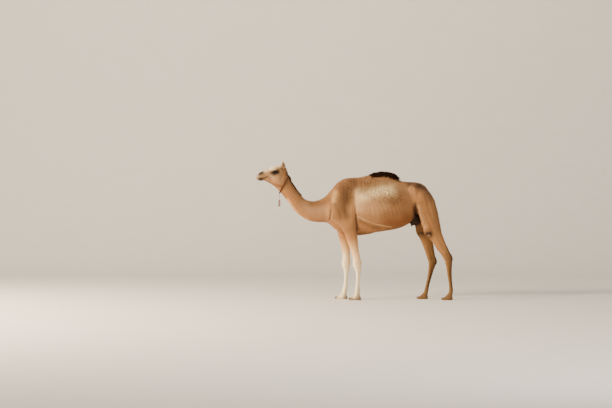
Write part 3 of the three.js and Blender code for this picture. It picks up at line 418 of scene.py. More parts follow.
# ---- nets ----
@dataclass(frozen=True)
class Net:
    """A closed net of triangles in millimetres."""

    points: Array
    faces: Whole

    def normals(self) -> Array:
        """Unit normals at the points: the sum of the normals of the faces round each."""
        a, b, c = (self.points[self.faces[:, k]] for k in range(3))
        flat = np.cross(b - a, c - a)
        total = np.zeros_like(self.points)
        for axis in range(3):
            for k in range(3):
                total[:, axis] += np.bincount(self.faces[:, k], flat[:, axis], len(total))
        return total / (norm(total, axis=1)[:, None] + TINY)

    def areas(self) -> Array:
        """The area of each face."""
        a, b, c = (self.points[self.faces[:, k]] for k in range(3))
        return norm(np.cross(b - a, c - a), axis=1) / 2

    def refined(self, longest: Field) -> "Net":
        """The net with every edge halved that is longer than longest gives at its middle.

        Args:
            longest: the greatest length of an edge at a point.

        Returns:
            Each face split by how many of its edges are halved, so that no crack opens.
        """
        count = len(self.points)
        pairs = np.sort(self.faces[:, [[0, 1], [1, 2], [2, 0]]], axis=2).reshape(-1, 2)
        keys, back = np.unique(pairs[:, 0] * count + pairs[:, 1], return_inverse=True)
        first, second = self.points[keys // count], self.points[keys % count]
        middle = (first + second) / 2
        cut = norm(first - second, axis=1) > longest(middle)
        new = np.full(len(keys), -1)
        new[cut] = count + np.arange(cut.sum())
        corners = np.hstack([self.faces, new[back].reshape(-1, 3)])
        code = (corners[:, 3:] >= 0) @ np.array([1, 2, 4])
        parts = [corners[code == k][:, piece] for k, split in SPLITS.items() for piece in split]
        return Net(np.vstack([self.points, middle[cut]]), np.vstack(parts))

    def moved(self, shift: Array) -> "Net":
        """The net with its points moved."""
        return Net(self.points + shift, self.faces)

    def mesh(self, name: str, smooth: bool = True) -> Piece:
        """Makes an object in metres from the net.

        Args:
            name: the object's name.
            smooth: whether it is shaded smooth rather than in its flat faces.

        Returns:
            The object, linked into the scene.
        """
        data = bpy.data.meshes.new(name)
        data.vertices.add(len(self.points))
        data.vertices.foreach_set("co", (self.points * MM).astype(np.float32).ravel())
        data.loops.add(self.faces.size)
        data.loops.foreach_set("vertex_index", self.faces.astype(np.int32).ravel())
        data.polygons.add(len(self.faces))
        data.polygons.foreach_set("loop_start", np.arange(0, self.faces.size, 3, dtype=np.int32))
        data.polygons.foreach_set("use_smooth", np.full(len(self.faces), smooth))
        data.update(calc_edges=True)
        made = bpy.data.objects.new(name, data)
        bpy.context.scene.collection.objects.link(made)
        return made


# How a triangle is split, by which of its edges 01, 12, 20 are halved (bits 1, 2, 4); the middles
# of those edges are corners 3, 4, 5.
SPLITS: dict[int, list[list[int]]] = {
    0: [[0, 1, 2]],
    1: [[0, 3, 2], [3, 1, 2]],
    2: [[0, 1, 4], [0, 4, 2]],
    3: [[3, 1, 4], [0, 3, 4], [0, 4, 2]],
    4: [[0, 1, 5], [5, 1, 2]],
    5: [[0, 3, 5], [3, 1, 2], [3, 2, 5]],
    6: [[4, 2, 5], [0, 1, 4], [0, 4, 5]],
    7: [[0, 3, 5], [3, 1, 4], [5, 4, 2], [3, 4, 5]],
}


def stacked(nets: Sequence[Net]) -> Net:
    """Several nets as one."""
    starts = np.cumsum([0] + [len(net.points) for net in nets])
    points = np.vstack([net.points for net in nets])
    return Net(points, np.vstack([net.faces + start for net, start in zip(nets, starts)]))


def ring_net(rings: Array, closed_ends: bool = True) -> Net:
    """A tube through rings of points, its ends closed by fans.

    Args:
        rings: points by ring and by place round it, turning left about the way the rings run.
        closed_ends: whether each end gets a middle point and a fan.

    Returns:
        The tube's net.
    """
    count, around = rings.shape[:2]
    i, j = np.meshgrid(np.arange(count - 1), np.arange(around), indexing="ij")
    a, b = i * around + j, i * around + (j + 1) % around
    faces = [np.stack([a, b, b + around], -1), np.stack([a, b + around, a + around], -1)]
    whole = [part.reshape(-1, 3) for part in faces]
    points = rings.reshape(-1, 3)
    if closed_ends:
        ends = np.array([rings[0].mean(0), rings[-1].mean(0)])
        j, top = np.arange(around), len(points)
        k, last = (j + 1) % around, (count - 1) * around
        whole.append(np.stack([k, j, np.full(around, top)], -1))
        whole.append(np.stack([last + j, last + k, np.full(around, top + 1)], -1))
        points = np.vstack([points, ends])
    return Net(points, np.vstack(whole))


def ball_net(middle: Sequence[float], radii: Sequence[float], fineness: int) -> Net:
    """An oval ball whose poles lie on the Z axis.

    Args:
        middle: the ball's middle.
        radii: its radii along X, Y and Z.
        fineness: how many steps it has from pole to pole, half as many as round it.

    Returns:
        Rings at even tilts: radii times (cos tilt cos turn, cos tilt sin turn, sin tilt).
    """
    tilt = np.linspace(-math.pi / 2, math.pi / 2, fineness + 1)[1:-1, None]
    turn = np.linspace(0, 2 * math.pi, 2 * fineness, endpoint=False)[None]
    rings = np.stack([
        np.cos(tilt) * np.cos(turn), np.cos(tilt) * np.sin(turn), np.sin(tilt) + 0 * turn,
    ], -1)
    net = ring_net(rings)
    net.points[-2:, 2] = (-1, 1)
    return Net(net.points * np.array(radii) + np.array(middle), net.faces)


def grid_net(value: Field, low: Array, high: Array, step: float, band: int = 4) -> Net:
    """The net of a field's zero surface, one point to each cell that the surface crosses.

    Args:
        value: the field, negative inside.
        low: the lowest corner of the space that is searched.
        high: its highest corner.
        step: the grid's step.
        band: how many steps a cell of the first, coarse search measures.

    Returns:
        Points at the mean of where the surface crosses each cell's edges, and two triangles round
        each grid edge that it crosses, facing out.
    """
    counts = np.ceil((high - low) / (step * band)).astype(int) + 1
    wide = np.indices(counts).reshape(3, -1).T * step * band + low
    near = np.abs(value(wide)) < step * band * BAND_MARGIN
    shape = (counts - 1) * band + 1
    wanted = np.zeros(shape, bool)
    for shift in np.indices((band + 2,) * 3).reshape(3, -1).T - (band + 1) // 2:
        at = np.clip(np.argwhere(near.reshape(counts)) * band + shift, 0, shape - 1)
        wanted[tuple(at.T)] = True
    values = np.full(shape, FAR)
    values[wanted] = value(np.argwhere(wanted) * step + low)
    inside = values < 0
    cells = shape - 1
    owners, crossings, quads = [], [], []
    for axis in range(3):
        lower = tuple(slice(None, -1) if k == axis else slice(None) for k in range(3))
        upper = tuple(slice(1, None) if k == axis else slice(None) for k in range(3))
        both_known = wanted[lower] & wanted[upper]
        at = np.argwhere((inside[lower] != inside[upper]) & both_known)
        start, end = values[lower][tuple(at.T)], values[upper][tuple(at.T)]
        place = at.astype(float)
        place[:, axis] += start / (start - end)
        a, b = (axis + 1) % 3, (axis + 2) % 3
        around = np.repeat(at[:, None], 4, axis=1)
        around[:, [1, 2], a] -= 1
        around[:, [2, 3], b] -= 1
        ids = np.ravel_multi_index(np.moveaxis(np.clip(around, 0, cells - 1), -1, 0), cells)
        ids = np.where((start < 0)[:, None], ids, ids[:, ::-1])
        owners.append(ids.ravel())
        crossings.append(np.repeat(place, 4, axis=0))
        quads.append(ids)
    keys, back = np.unique(np.concatenate(owners), return_inverse=True)
    crossing = np.vstack(crossings)
    total = np.bincount(back)
    points = np.stack([np.bincount(back, crossing[:, k]) / total for k in range(3)], -1)
    quad = np.searchsorted(keys, np.vstack(quads))
    return Net(points * step + low, np.vstack([quad[:, [0, 1, 2]], quad[:, [0, 2, 3]]]))


BAND_MARGIN = 1.25  # how many coarse cells off the surface still counts as near it
PROBE = 0.6  # the step over which the field's slope is taken
DAMPING = 0.05  # keeps moves short where the slope is nearly flat


def settled(net: Net, value: Field, rounds: int = 2, reach: float = 6.0) -> Net:
    """The net with each point brought onto the field's zero surface along the field's slope.

    Args:
        net: a net near the surface.
        value: the field.
        rounds: how often each point is moved.
        reach: the longest move of one round.

    Returns:
        The net after moves of value times slope over the slope's length squared.
    """
    points = net.points
    for _ in range(rounds):
        here = value(points)
        slope = np.stack([value(points + PROBE * axis) - here for axis in np.eye(3)], -1) / PROBE
        move = here[:, None] * slope / (np.sum(slope**2, axis=1)[:, None] + DAMPING)
        size = norm(move, axis=1)[:, None] + TINY
        points = points - move * np.minimum(1, reach / size)
    return Net(points, net.faces)


def volume(net: Net) -> float:
    """The volume that a net encloses, negative where it faces inwards."""
    a, b, c = (net.points[net.faces[:, k]] for k in range(3))
    return float(np.einsum("ij,ij->", a, np.cross(b, c)) / 6)


def outward(net: Net) -> Net:
    """The net with its faces turned outwards."""
    return net if volume(net) > 0 else Net(net.points, net.faces[:, ::-1])


# ---- the skin ----
def ease(t: Array) -> Array:
    """0 below 0, 1 above 1, and 3t^2 - 2t^3 between."""
    t = np.clip(t, 0, 1)
    return t * t * (3 - 2 * t)


def bump(distance: Array, width: float) -> Array:
    """1 at no distance, falling as exp(-(d/width)^2)."""
    return np.exp(-((distance / width) ** 2))


def path_gap(points: Array, path: Array) -> tuple[Array, Array]:
    """How far points lie from a path of straight pieces, and where along it.

    Args:
        points: the places.
        path: the path's corners, one to a row, in as many coordinates as points.

    Returns:
        The least distance, and the share of the path's length passed at the nearest place.
    """
    lengths = norm(np.diff(path, axis=0), axis=1)
    starts = np.concatenate([[0], np.cumsum(lengths)])
    best, share = np.full(len(points), np.inf), np.zeros(len(points))
    for a, b, length, start in zip(path[:-1], path[1:], lengths, starts):
        t = np.clip((points - a) @ (b - a) / length**2, 0, 1)
        far = norm(points - a - t[:, None] * (b - a), axis=1)
        nearer = far < best
        best[nearer] = far[nearer]
        share[nearer] = (start + t * length)[nearer] / starts[-1]
    return best, share


def side_view(points: Array) -> Array:
    """The x and z of points."""
    return points[:, [0, 2]]


@dataclass(frozen=True)
class Furrow:
    """A ridge or groove of the flesh along a path seen from the side, [x, z] points, both sides."""

    path: tuple[tuple[float, float], ...]
    rise: float
    width: float
    inner: float = 20.0

    def lift(self, points: Array) -> Array:
        """The rise times exp(-(d/width)^2), fading at the path's ends and near the midline."""
        far, share = path_gap(side_view(points), np.array(self.path, float))
        fade = ease(share / 0.3) * ease((1 - share) / 0.15)
        outer = ease((np.abs(points[:, 1]) - self.inner) / 30)
        return self.rise * bump(far, self.width) * fade * outer


EYE = np.array([-1231.0, 74.0, 1973.0])
EYE_RADIUS = 21.0
LID_SEAT = 23.0
COAT_DEPTH = 4.0
SOLE = 0.5


def lid(lift: float, thick: float, droop: float) -> Strand:
    """A lid of the right eye: an arc over the eyeball from its front corner to its back one.

    Args:
        lift: how high the middle of the arc stands above the eye's middle; below it if negative.
        thick: half the lid's thickness in the middle.
        droop: how much lower the front corner lies than the back one, as a share of the seat.

    Returns:
        The lid's strand, whose stations lie on a ball of the seat's radius.
    """
    u = np.linspace(-1, 1, 9)
    toward = np.stack([u * 1.02, 0 * u, (1 - u * u) * lift / LID_SEAT + droop * u], -1)
    toward[:, 1] = np.sqrt(np.maximum(0.16, 1 - toward[:, 0] ** 2 - toward[:, 2] ** 2))
    toward *= LID_SEAT / norm(toward, axis=1)[:, None]
    size = thick * (1 - 0.72 * u * u)
    return Strand(tuple(map(tuple, np.column_stack([EYE + toward, size, size]))), 5, 2)


LIDS = [
    *both(lid(16.0, 4.6, 0.12)),
    *both(lid(-14.0, 3.7, 0.12)),
    *both(lid(26.0, 5.4, 0.06)),
]

# Grooves and ridges, each with its path in x and z, how far it rises and how wide it is.
FURROWS = tuple(Furrow(*row) for row in (
    (((50, 1292), (120, 1256), (212, 1214), (357, 1164), (482, 1138), (620, 1122)), 10, 10),
    (((60, 1252), (130, 1210), (220, 1170), (360, 1122), (500, 1098)), -7, 15),
    (((-342, 1500), (-356, 1400), (-370, 1300), (-378, 1215)), -15, 15),
    (((-396, 1440), (-408, 1360), (-412, 1280)), -4, 9),
    (((-292, 1660), (-316, 1570), (-322, 1480), (-306, 1390)), 6, 26),
    (((6, 1700), (2, 1560), (8, 1430)), -9, 30),
    (((4, 1500), (16, 1380), (30, 1240), (38, 1140), (40, 1060)), -20, 18),
    (((-110, 1560), (-135, 1450), (-128, 1330)), -5, 38),
    (((-66, 1480), (-44, 1370), (-34, 1260), (-40, 1160)), 7, 24),
    (((-250, 1420), (-215, 1330), (-190, 1240)), -8, 24),
    (((900, 1780), (918, 1700), (926, 1600), (922, 1500)), 5, 22),
    (((986, 1780), (982, 1670), (976, 1560)), -4, 26),
    (((926, 1494), (938, 1420), (958, 1330), (985, 1240), (1020, 1160)), -52, 27),
    (((965, 1500), (985, 1420), (1012, 1320), (1048, 1220), (1090, 1120)), 12, 22),
    (((1000, 1440), (1030, 1300), (1070, 1180), (1120, 1080)), 7, 20),
    (((1085, 1660), (1112, 1540), (1150, 1390), (1200, 1250)), -6, 22),
    (((1060, 1400), (1120, 1260), (1180, 1120), (1240, 1000)), -5, 22),
    (((1268, 1000), (1340, 860), (1400, 748)), -7, 13),
    (((1245, 900), (1310, 790), (1380, 680)), -5, 11),
    (((1290, 930), (1360, 810), (1420, 700)), 5, 8),
    (((1140, 790), (1190, 700), (1240, 610)), -6, 11),
    (((-960, 1520), (-820, 1400), (-640, 1330), (-470, 1330)), 5, 22),
    (((-1010, 1600), (-900, 1440), (-740, 1330), (-560, 1270)), -5, 16),
    (((-1165, 1985), (-1230, 1935), (-1300, 1915), (-1370, 1905)), 4.5, 10),
    (((-1190, 1850), (-1250, 1868), (-1320, 1890), (-1370, 1900)), -4, 9),
    (((-1130, 1930), (-1120, 1880), (-1140, 1835)), -5, 12),
    (((-1255, 2030), (-1300, 2010), (-1350, 1990), (-1400, 1975)), -3, 9),
    (((-1330, 1960), (-1370, 1935), (-1410, 1920)), -3, 8),
))


JOINT_HEIGHT = {End.FRONT: 545.0, End.HIND: 600.0}  # the knee's and the hock's
LEGS_PART = 400.0  # the forelegs stand before this x, the hind legs behind it


def tendons(points: Array) -> Array:
    """The lower legs' dry modelling: a groove before the back tendon, a knee in three bosses, the
    fetlock's knuckle.

    Args:
        points: the places.

    Returns:
        The rise at each point, from its offset behind each leg's own line.
    """
    x, y, z = points.T
    rise = np.zeros(len(points))
    for leg in LEGS:
        own = (np.sign(y) == leg.side) & (z < 720) & ((x < LEGS_PART) == (leg.end is End.FRONT))
        pose = np.array(leg.pose)[::-1]
        back = x[own] - np.interp(z[own], pose[:, 1], pose[:, 0])
        high = z[own]
        joint = JOINT_HEIGHT[leg.end]
        cannon = ease((joint - 60 - high) / 40) * ease((high - 150) / 60)
        lift = -6.0 * bump(back - 12, 8) * cannon + 3.5 * bump(back + 8, 10) * cannon
        boss = bump(high - joint - 34, 20) + bump(high - joint + 30, 18)
        lift += 4.5 * boss * bump(back + 20, 30) - 4.0 * bump(high - joint, 12) * bump(back + 10, 34)
        rise[own] = lift + 2.6 * bump(high - 168, 18) * bump(back - 14, 24)
    return rise


RIB_COUNT = 11
RIB_SPACE = 66.0
RIB_RISE = 2.6


def ribs(points: Array) -> Array:
    """The ribs: ridges that lean back as they go down, faint at both ends of the chest.

    Args:
        points: the places.

    Returns:
        The rise times the sixth power of a cosine along the flank, inside the rib cage.
    """
    x, y, z = points.T
    run = x + 0.34 * (z - 1420) + 60 * ((z - 1420) / 300) ** 2
    first, last = 150.0, 150.0 + RIB_COUNT * RIB_SPACE
    wave = np.abs(np.cos(math.pi * (run - first) / RIB_SPACE)) ** 6
    cage = ease((run - first) / 140) * ease((last - run) / 160)
    cage *= ease((z - 1180) / 120) * ease((1700 - z) / 130)
    return RIB_RISE * wave * cage * ease((np.abs(y) - 60) / 60)


def wrinkles(points: Array) -> Array:
    """Fine folds round the neck's root, on the jowl and across the knees and the hocks.

    Args:
        points: the places.

    Returns:
        The rise: sines, each times the bump of its own place.
    """
    x, _, z = points.T
    root = np.sin((x + 0.25 * (z - 1300)) / 9.5 + 2.0 * np.sin(z / 70))
    root = 1.6 * root * bump(x + 455, 60) * bump(z - 1340, 110)
    jowl = np.sin((z - 0.9 * x) / 7.5) * bump(x + 1118, 46) * bump(z - 1800, 60)
    hind = np.sin(z / 8.5) * bump(x - 1440, 45) * bump(z - 650, 50)
    knee = np.sin(z / 8.0) * ease((90 - np.abs(x + 30)) / 30) * bump(z - 545, 42)
    return root + 1.2 * jowl + 0.9 * hind + 0.8 * knee


NOSTRIL = ((-1479, 1940), (-1466, 1955), (-1444, 1967), (-1418, 1973))
MOUTH = ((-1345, 1907), (-1388, 1889), (-1430, 1873), (-1466, 1864), (-1500, 1860))


def head_cuts(points: Array) -> Array:
    """How far the skin sinks at the nostrils, the mouth, the split lip and the eyes' corners.

    Args:
        points: the places.

    Returns:
        The depth of the deepest groove at each point.
    """
    x, y, z = points.T
    flat = side_view(points)
    muzzle = ease((-1300 - x) / 30)
    far, share = path_gap(flat, np.array(NOSTRIL, float))
    off = ease((np.abs(y) - 8) / 12) * muzzle
    slit = 17 * bump(far, 4.6 + 2.8 * np.sin(math.pi * share)) * off
    rim = -3.4 * bump(far - 13, 5) * off
    far, share = path_gap(flat, np.array(MOUTH, float))
    mouth = (11 - 4 * ease(share / 0.4)) * bump(far, 3.8) * muzzle
    split = 7 * bump(y, 3.2) * ease((-1470 - x) / 12) * bump(z - 1900, 22)
    corner = 5 * bump(np.hypot(x + 1343, z - 1908), 10)
    ring = np.hypot((x - EYE[0]) / 1.25, z - EYE[2])
    crease = 2.2 * (bump(ring - 36, 3.4) + 0.6 * bump(ring - 47, 4))
    crease *= ease((np.abs(y) - 60) / 15)
    return slit + rim + np.maximum(mouth, corner) + split + crease


def from_eye(points: Array) -> Array:
    """How far points lie from the middle of the nearer eye."""
    return norm(points * [1, 0, 1] + np.abs(points) * [0, 1, 0] - EYE, axis=1)


def flesh_value(points: Array) -> Array:
    """The flesh melted together, sunk by the coat's depth and cut flat at the soles."""
    value = melted([*FLESH, TAIL], points) + COAT_DEPTH
    return np.maximum(value, SOLE - points[:, 2])


def skin_value(points: Array) -> Array:
    """The flesh with the lids laid over the eyes.

    Args:
        points: the places.

    Returns:
        One value to a point, negative inside.
    """
    value = flesh_value(points)
    near = from_eye(points) < 60
    for form in LIDS:
        value[near] = melt_into(value[near], form.value(points[near]), form.blend)
    return value


def edge_length(points: Array) -> Array:
    """How long an edge of the skin may be: fine on the face, coarse on the barrel.

    Args:
        points: the places.

    Returns:
        The length of the last region that holds each point.
    """
    x, _, z = points.T
    length = np.full(len(points), 21.0)
    length = np.where((x < -1090) & (z > 1760), 9.5, length)
    length = np.where(np.hypot(x + 1330, z - 1920) < 205, 7.0, length)
    length = np.where(from_eye(points) < 50, 3.2, length)
    for middle_x, middle_z, radius in ((-1465, 1900, 85), (-1400, 1895, 45)):
        length = np.where(np.hypot(x - middle_x, z - middle_z) < radius, 4.2, length)
    for furrow in FURROWS:
        if abs(furrow.rise) >= 10:
            far, _ = path_gap(side_view(points), np.array(furrow.path, float))
            length = np.where((far < 2.3 * furrow.width) & (length > 10), 10.6, length)
    return np.where(z < 640, 12.8, length)


SKIN_STEP = 12.4  # the grid's step for the first net, also the first net's longest moves


def skin_net() -> Net:
    """The whole skin, refined where it carries detail.

    Returns:
        The net, each point raised along its normal by ribs, wrinkles, tendons and furrows, fading
        at the eyes and the soles, less the head's cuts.
    """
    reaches = np.array([form.reach() for form in [*FLESH, TAIL]])
    low, high = reaches[:, 0].min(0) - 3 * SKIN_STEP, reaches[:, 1].max(0) + 3 * SKIN_STEP
    low[2] = -2.5 * SKIN_STEP
    net = settled(grid_net(flesh_value, low, high, SKIN_STEP), flesh_value, 2, SKIN_STEP)
    for _ in range(4):
        net = settled(net.refined(edge_length), skin_value, 1)
    net = settled(net, skin_value, 2, 2.0)
    lift = ribs(net.points) + wrinkles(net.points) + tendons(net.points)
    for furrow in FURROWS:
        lift += furrow.lift(net.points)
    lift *= ease((from_eye(net.points) - 34) / 12) * ease(net.points[:, 2] / 40)
    cuts = head_cuts(net.points)
    return net.moved(net.normals() * (lift - cuts)[:, None])


# ---- the coat's colour: its own marks, painted highlights and painted shade ----
def linear(rgb: Rgb) -> Array:
    """A colour given in sRGB bytes, as linear light: ((c + 0.055) / 1.055)^2.4."""
    return ((np.array(rgb) / 255 + 0.055) / 1.055) ** 2.4


def mixed(base: Array, tint: Array, share: Array) -> Array:
    """A colour with a share of another in it, a row to a point: base + share * (tint - base)."""
    return base + share.reshape(-1, 1) * (tint - base)


@dataclass(frozen=True)
class ColourPatch:
    """A patch of another colour round a path of [x, z] points, or of [x, y, z] points where its
    place across the body matters too. Some patches are the coat's own marks, others painted
    highlights and painted shade."""

    colour: Rgb
    path: tuple[tuple[float, ...], ...]
    width: float
    share: float = 1.0

    def over(self, points: Array) -> Array:
        """How much of the patch's colour shows: the share times exp(-(d/width)^2)."""
        path = np.array(self.path, float)
        far, _ = path_gap(side_view(points) if path.shape[1] == 2 else points, path)
        return self.share * bump(far, self.width)


FAWN = (172, 123, 77)
TONE = 0.82  # how much of its light the coat keeps, all but the forelegs
COAT_MARKS_AND_PAINTED_LIGHT = tuple(ColourPatch(*row) for row in (
    ((168, 122, 80), ((-60, 1880), (250, 1900), (800, 1830), (1080, 1770)), 95),
    ((156, 112, 72), ((-1090, 1850), (-960, 1640), (-820, 1450)), 150, 0.9),
    ((184, 142, 102), ((-700, 1380), (-540, 1380)), 150, 0.8),
    # painted shade: a warm brown shadowed band down the throat
    ((124, 76, 36), ((-1104, 1640), (-1070, 1580)), 24, 0.7),
    # darker coat on the neck's root, deepened as painted shade
    ((128, 86, 48), ((-660, 1490), (-500, 1505), (-390, 1560)), 56, 0.8),
    # painted highlight: the sunlit front edge of the throat
    ((255, 216, 150), ((-1034, 1560), (-944, 1416), (-850, 1296), (-750, 1236)), 20, 0.85),
    # painted warm light, bounced up onto the throat's underside
    ((180, 122, 68), ((-1080, 1640), (-860, 1330), (-600, 1200)), 80, 0.6),
    # the arm's darker coat behind the shoulder, deepened as painted shade
    ((140, 102, 68), ((-270, 1480), (-210, 1400), (-150, 1330)), 95, 0.7),
    # painted highlight on the shoulder's front edge
    ((255, 208, 136), ((-290, 1670), (-308, 1600), (-320, 1540)), 34, 0.55),
    # darker wool over the shoulder blade, deepened as painted shade
    ((124, 85, 52), ((-190, 1720), (-150, 1590)), 85, 0.75),
    ((228, 186, 138), ((44, 1700), (64, 1560), (76, 1420)), 62, 0.8),
    # pale hair on the ribs, brightened further as painted highlight
    ((255, 226, 168), ((110, 1590), (260, 1645), (420, 1695), (560, 1700)), 90, 0.95),
    ((198, 152, 108), ((180, 1420), (420, 1460)), 130, 0.7),
    ((168, 128, 90), ((640, 1730), (760, 1700), (840, 1640)), 60, 0.5),
    ((152, 106, 68), ((620, 1500), (800, 1500)), 110, 0.6),
    ((140, 96, 58), ((480, 1330), (720, 1340)), 80, 0.5),
    # painted shade on the lower belly, warmed by painted light bounced up from below
    ((150, 92, 44), ((520, 1200), (700, 1180), (820, 1260)), 100, 0.85),
    ((196, 136, 82), ((80, 1150), (260, 1090), (420, 1090)), 70, 0.8),
    # painted shade along the chest's underline behind the breast pad
    ((128, 80, 42), ((60, 1030), (300, 1030), (560, 1075)), 22, 0.7),
    # painted highlight along the lit top of the milk vein
    ((232, 186, 132), ((40, 1300), (140, 1248), (300, 1182), (430, 1148), (560, 1130)), 9, 0.65),
    # painted shade below the milk vein
    ((132, 92, 62), ((70, 1228), (220, 1152), (380, 1104)), 26, 0.55),
    # painted shade in the crease behind the elbow
    ((62, 38, 22), ((22, 1320), (34, 1180), (38, 1080)), 14, 0.8),
    # painted shade in the crease where the neck meets the shoulder
    ((84, 56, 36), ((-370, 1390), (-378, 1320), (-384, 1240)), 14, 0.6),
    ((132, 94, 66), ((985, 1770), (1085, 1690), (1130, 1600)), 70, 0.75),
    ((92, 62, 42), ((840, 1790), (930, 1770), (1000, 1765)), 46, 0.8),
    # painted highlight on the hip's point
    ((190, 146, 104), ((908, 1730), (924, 1660), (930, 1590)), 16, 0.45),
    # painted shade in the fold along the thigh's front edge
    ((30, 17, 9), ((931, 1492), (946, 1410), (968, 1330), (1004, 1230)), 23, 0.98),
    # the dark bare skin by the udder, deepened as painted shade in the flank's fold
    ((52, 33, 20), ((940, 1380), (940, 1310), (930, 1250)), 44, 0.97),
    ((160, 108, 62), ((1010, 1500), (1090, 1260), (1180, 1080)), 100, 0.6),
    # painted highlight down the thigh's front edge
    ((214, 166, 114), ((985, 1460), (1010, 1350), (1048, 1240), (1096, 1130)), 24, 0.6),
    ((192, 138, 82), ((1260, 940), (1360, 800)), 90, 0.6),
    ((70, 52, 40), ((-20, 0, 1000), (100, 0, 1006)), 46, 0.85),
    ((96, 66, 40), ((-1060, 0, 1960), (-1020, 0, 1880)), 24, 0.7),
    ((88, 60, 36), ((1205, 0, 1600), (1262, 0, 1430), (1280, 0, 1330)), 24, 0.5),
    ((58, 38, 24), ((1284, 0, 1300), (1284, 0, 1150)), 45, 0.9),
    ((26, 14, 7), ((300, 1962), (430, 1990), (560, 1966), (668, 1905)), 32, 0.97),
))
HEAD_MARKS_AND_PAINTED_LIGHT = tuple(ColourPatch(*row) for row in (
    ((162, 126, 88), ((-1180, 1950), (-1320, 1930), (-1440, 1910)), 110, 0.95),
    # the pale forehead, brightened as painted highlight
    ((255, 232, 190), ((-1170, 2082), (-1235, 2072), (-1310, 2036)), 34, 1.0),
    # painted highlight along the brow ridge
    ((244, 220, 184), ((-1300, 2020), (-1262, 2014), (-1214, 2030)), 16, 0.7),
    ((236, 214, 180), ((-1360, 2010), (-1440, 1982), (-1500, 1925)), 30, 0.8),
    # painted shade along the jaw's edge, warmed by painted bounced light
    ((118, 70, 30), ((-1110, 1750), (-1230, 1774), (-1330, 1812), (-1400, 1842)), 28, 0.85),
    ((172, 138, 104), ((-1250, 1920), (-1310, 1925)), 40, 0.6),
    ((70, 46, 31), ((-1280, 1962), (-1231, 1966), (-1182, 1972)), 36, 0.85),
    ((16, 9, 6), ((-1262, 1966), (-1231, 1969), (-1196, 1974)), 31, 1.0),
    ((12, 7, 5), ((-1256, 1972), (-1244, 1986), (-1226, 1990), (-1208, 1984), (-1200, 1974)), 10),
    ((14, 9, 7), ((-1256, 1966), (-1233, 1956), (-1204, 1968)), 9),
    # dark skin and lashes below the eye, with painted shade
    ((24, 15, 11), ((-1238, 1956), (-1240, 1936)), 16, 0.8),
    ((44, 28, 19), ((-1462, 1950), (-1430, 1967)), 26, 0.88),
    ((12, 7, 5), ((-1478, 1942), (-1466, 1954), (-1444, 1966), (-1422, 1972)), 12, 1.0),
    ((10, 6, 4), ((-1474, 1946), (-1446, 1965), (-1424, 1971)), 9),
    ((92, 66, 48), ((-1500, 1918), (-1480, 1935), (-1430, 1962)), 26, 0.5),
    ((50, 34, 24), ((-1484, 1868), (-1425, 1884)), 16, 0.75),
    ((26, 17, 12), ((-1430, 1871), (-1470, 1863), (-1508, 1860)), 10, 0.97),
    ((52, 34, 24), ((-1345, 1906), (-1390, 1888), (-1430, 1872)), 8, 0.9),
    ((48, 33, 25), ((-1436, 1848), (-1475, 1846), (-1484, 1846)), 17, 0.92),
    ((66, 43, 28), ((-1138, 2034), (-1118, 2012), (-1104, 1990)), 15, 0.8),
    ((128, 92, 64), ((-1110, 2010), (-1100, 2040)), 26, 0.5),
    ((150, 112, 78), ((-1140, 1935), (-1120, 1880)), 34, 0.5),
))
# The forelegs' colours by height: darker towards the sole, then pale up to the forearm; their
# near-white is partly painted sunlight.
FRONT_BANDS = (
    (24, (150, 126, 96)), (90, (208, 188, 156)), (260, (255, 238, 204)), (700, (248, 206, 150)),
    (960, (184, 130, 78)),
)
HIND_BANDS = ((60, (136, 102, 62)), (420, (124, 86, 44)), (640, (142, 102, 60)), (960, (176, 126, 76)))
CALLUS = (30, 17, 10)
LEG_FADE = (1120.0, 900.0)  # between these heights the trunk's colours turn into the legs' bands


def leg_marks_and_painted_light() -> Iterator[tuple[Leg, ColourPatch]]:
    """Each leg's marks, with its painted highlights and painted shade.

    Returns:
        Legs with marks: a foreleg's pale front, a painted highlight, and painted shade down its
        back; on a hind leg the dark ring of the stifle's callus, pale inside, a painted highlight
        down its front, painted shade down its back and over all of the right one.
    """
    for leg in LEGS:
        sizes = LEG_SIZES[leg.end]
        middle = leg.pose[6:14]
        behind = tuple((x + reach, z) for (x, z), (reach, _) in zip(middle, sizes[6:14]))
        upper = zip(leg.pose[4:13], sizes[4:13])
        before = tuple((x - 0.8 * reach, z) for (x, z), (reach, _) in upper)
        if leg.end is End.FRONT:
            # painted highlight down the foreleg's front, wider on the right one
            yield leg, ColourPatch((255, 242, 206), before, 60 if leg.side > 0 else 18, 0.85)
            # painted shade down the foreleg's back
            yield leg, ColourPatch((176, 140, 100), behind, 12, 0.5)
            continue
        x, z = leg.pose[4]
        strong = 0.98 if leg.side < 0 else 0.6
        # painted shade over the whole right hind leg
        if leg.side > 0:
            yield leg, ColourPatch((92, 62, 26), leg.pose[4:13], 70, 0.4)
        # painted highlight down the hind leg's front
        yield leg, ColourPatch((176, 132, 78), before, 14, 0.4)
        yield leg, ColourPatch(CALLUS, ((x - 98, z - 36), (x - 54, z - 34)), 28, strong)
        yield leg, ColourPatch(CALLUS, ((x - 84, z - 58), (x - 66, z - 60)), 54, strong)
        yield leg, ColourPatch((168, 124, 84), ((x - 80, z - 62), (x - 70, z - 64)), 19, strong)
        # painted shade down the hind leg's back
        yield leg, ColourPatch((60, 34, 14), behind, 17, 0.85)


def one_side(points: Array) -> Array:
    """Points with those of the left side moved over to the right one."""
    return np.column_stack([points[:, 0], np.abs(points[:, 1]), points[:, 2]])


WITHERS = ColourPatch(FAWN, ((-140, 60, 1850), (-170, 130, 1680), (-165, 150, 1570)), 105)
FLANK = ColourPatch(FAWN, ((40, 100, 1860), (190, 170, 1770), (380, 200, 1700), (560, 200, 1640)), 130)


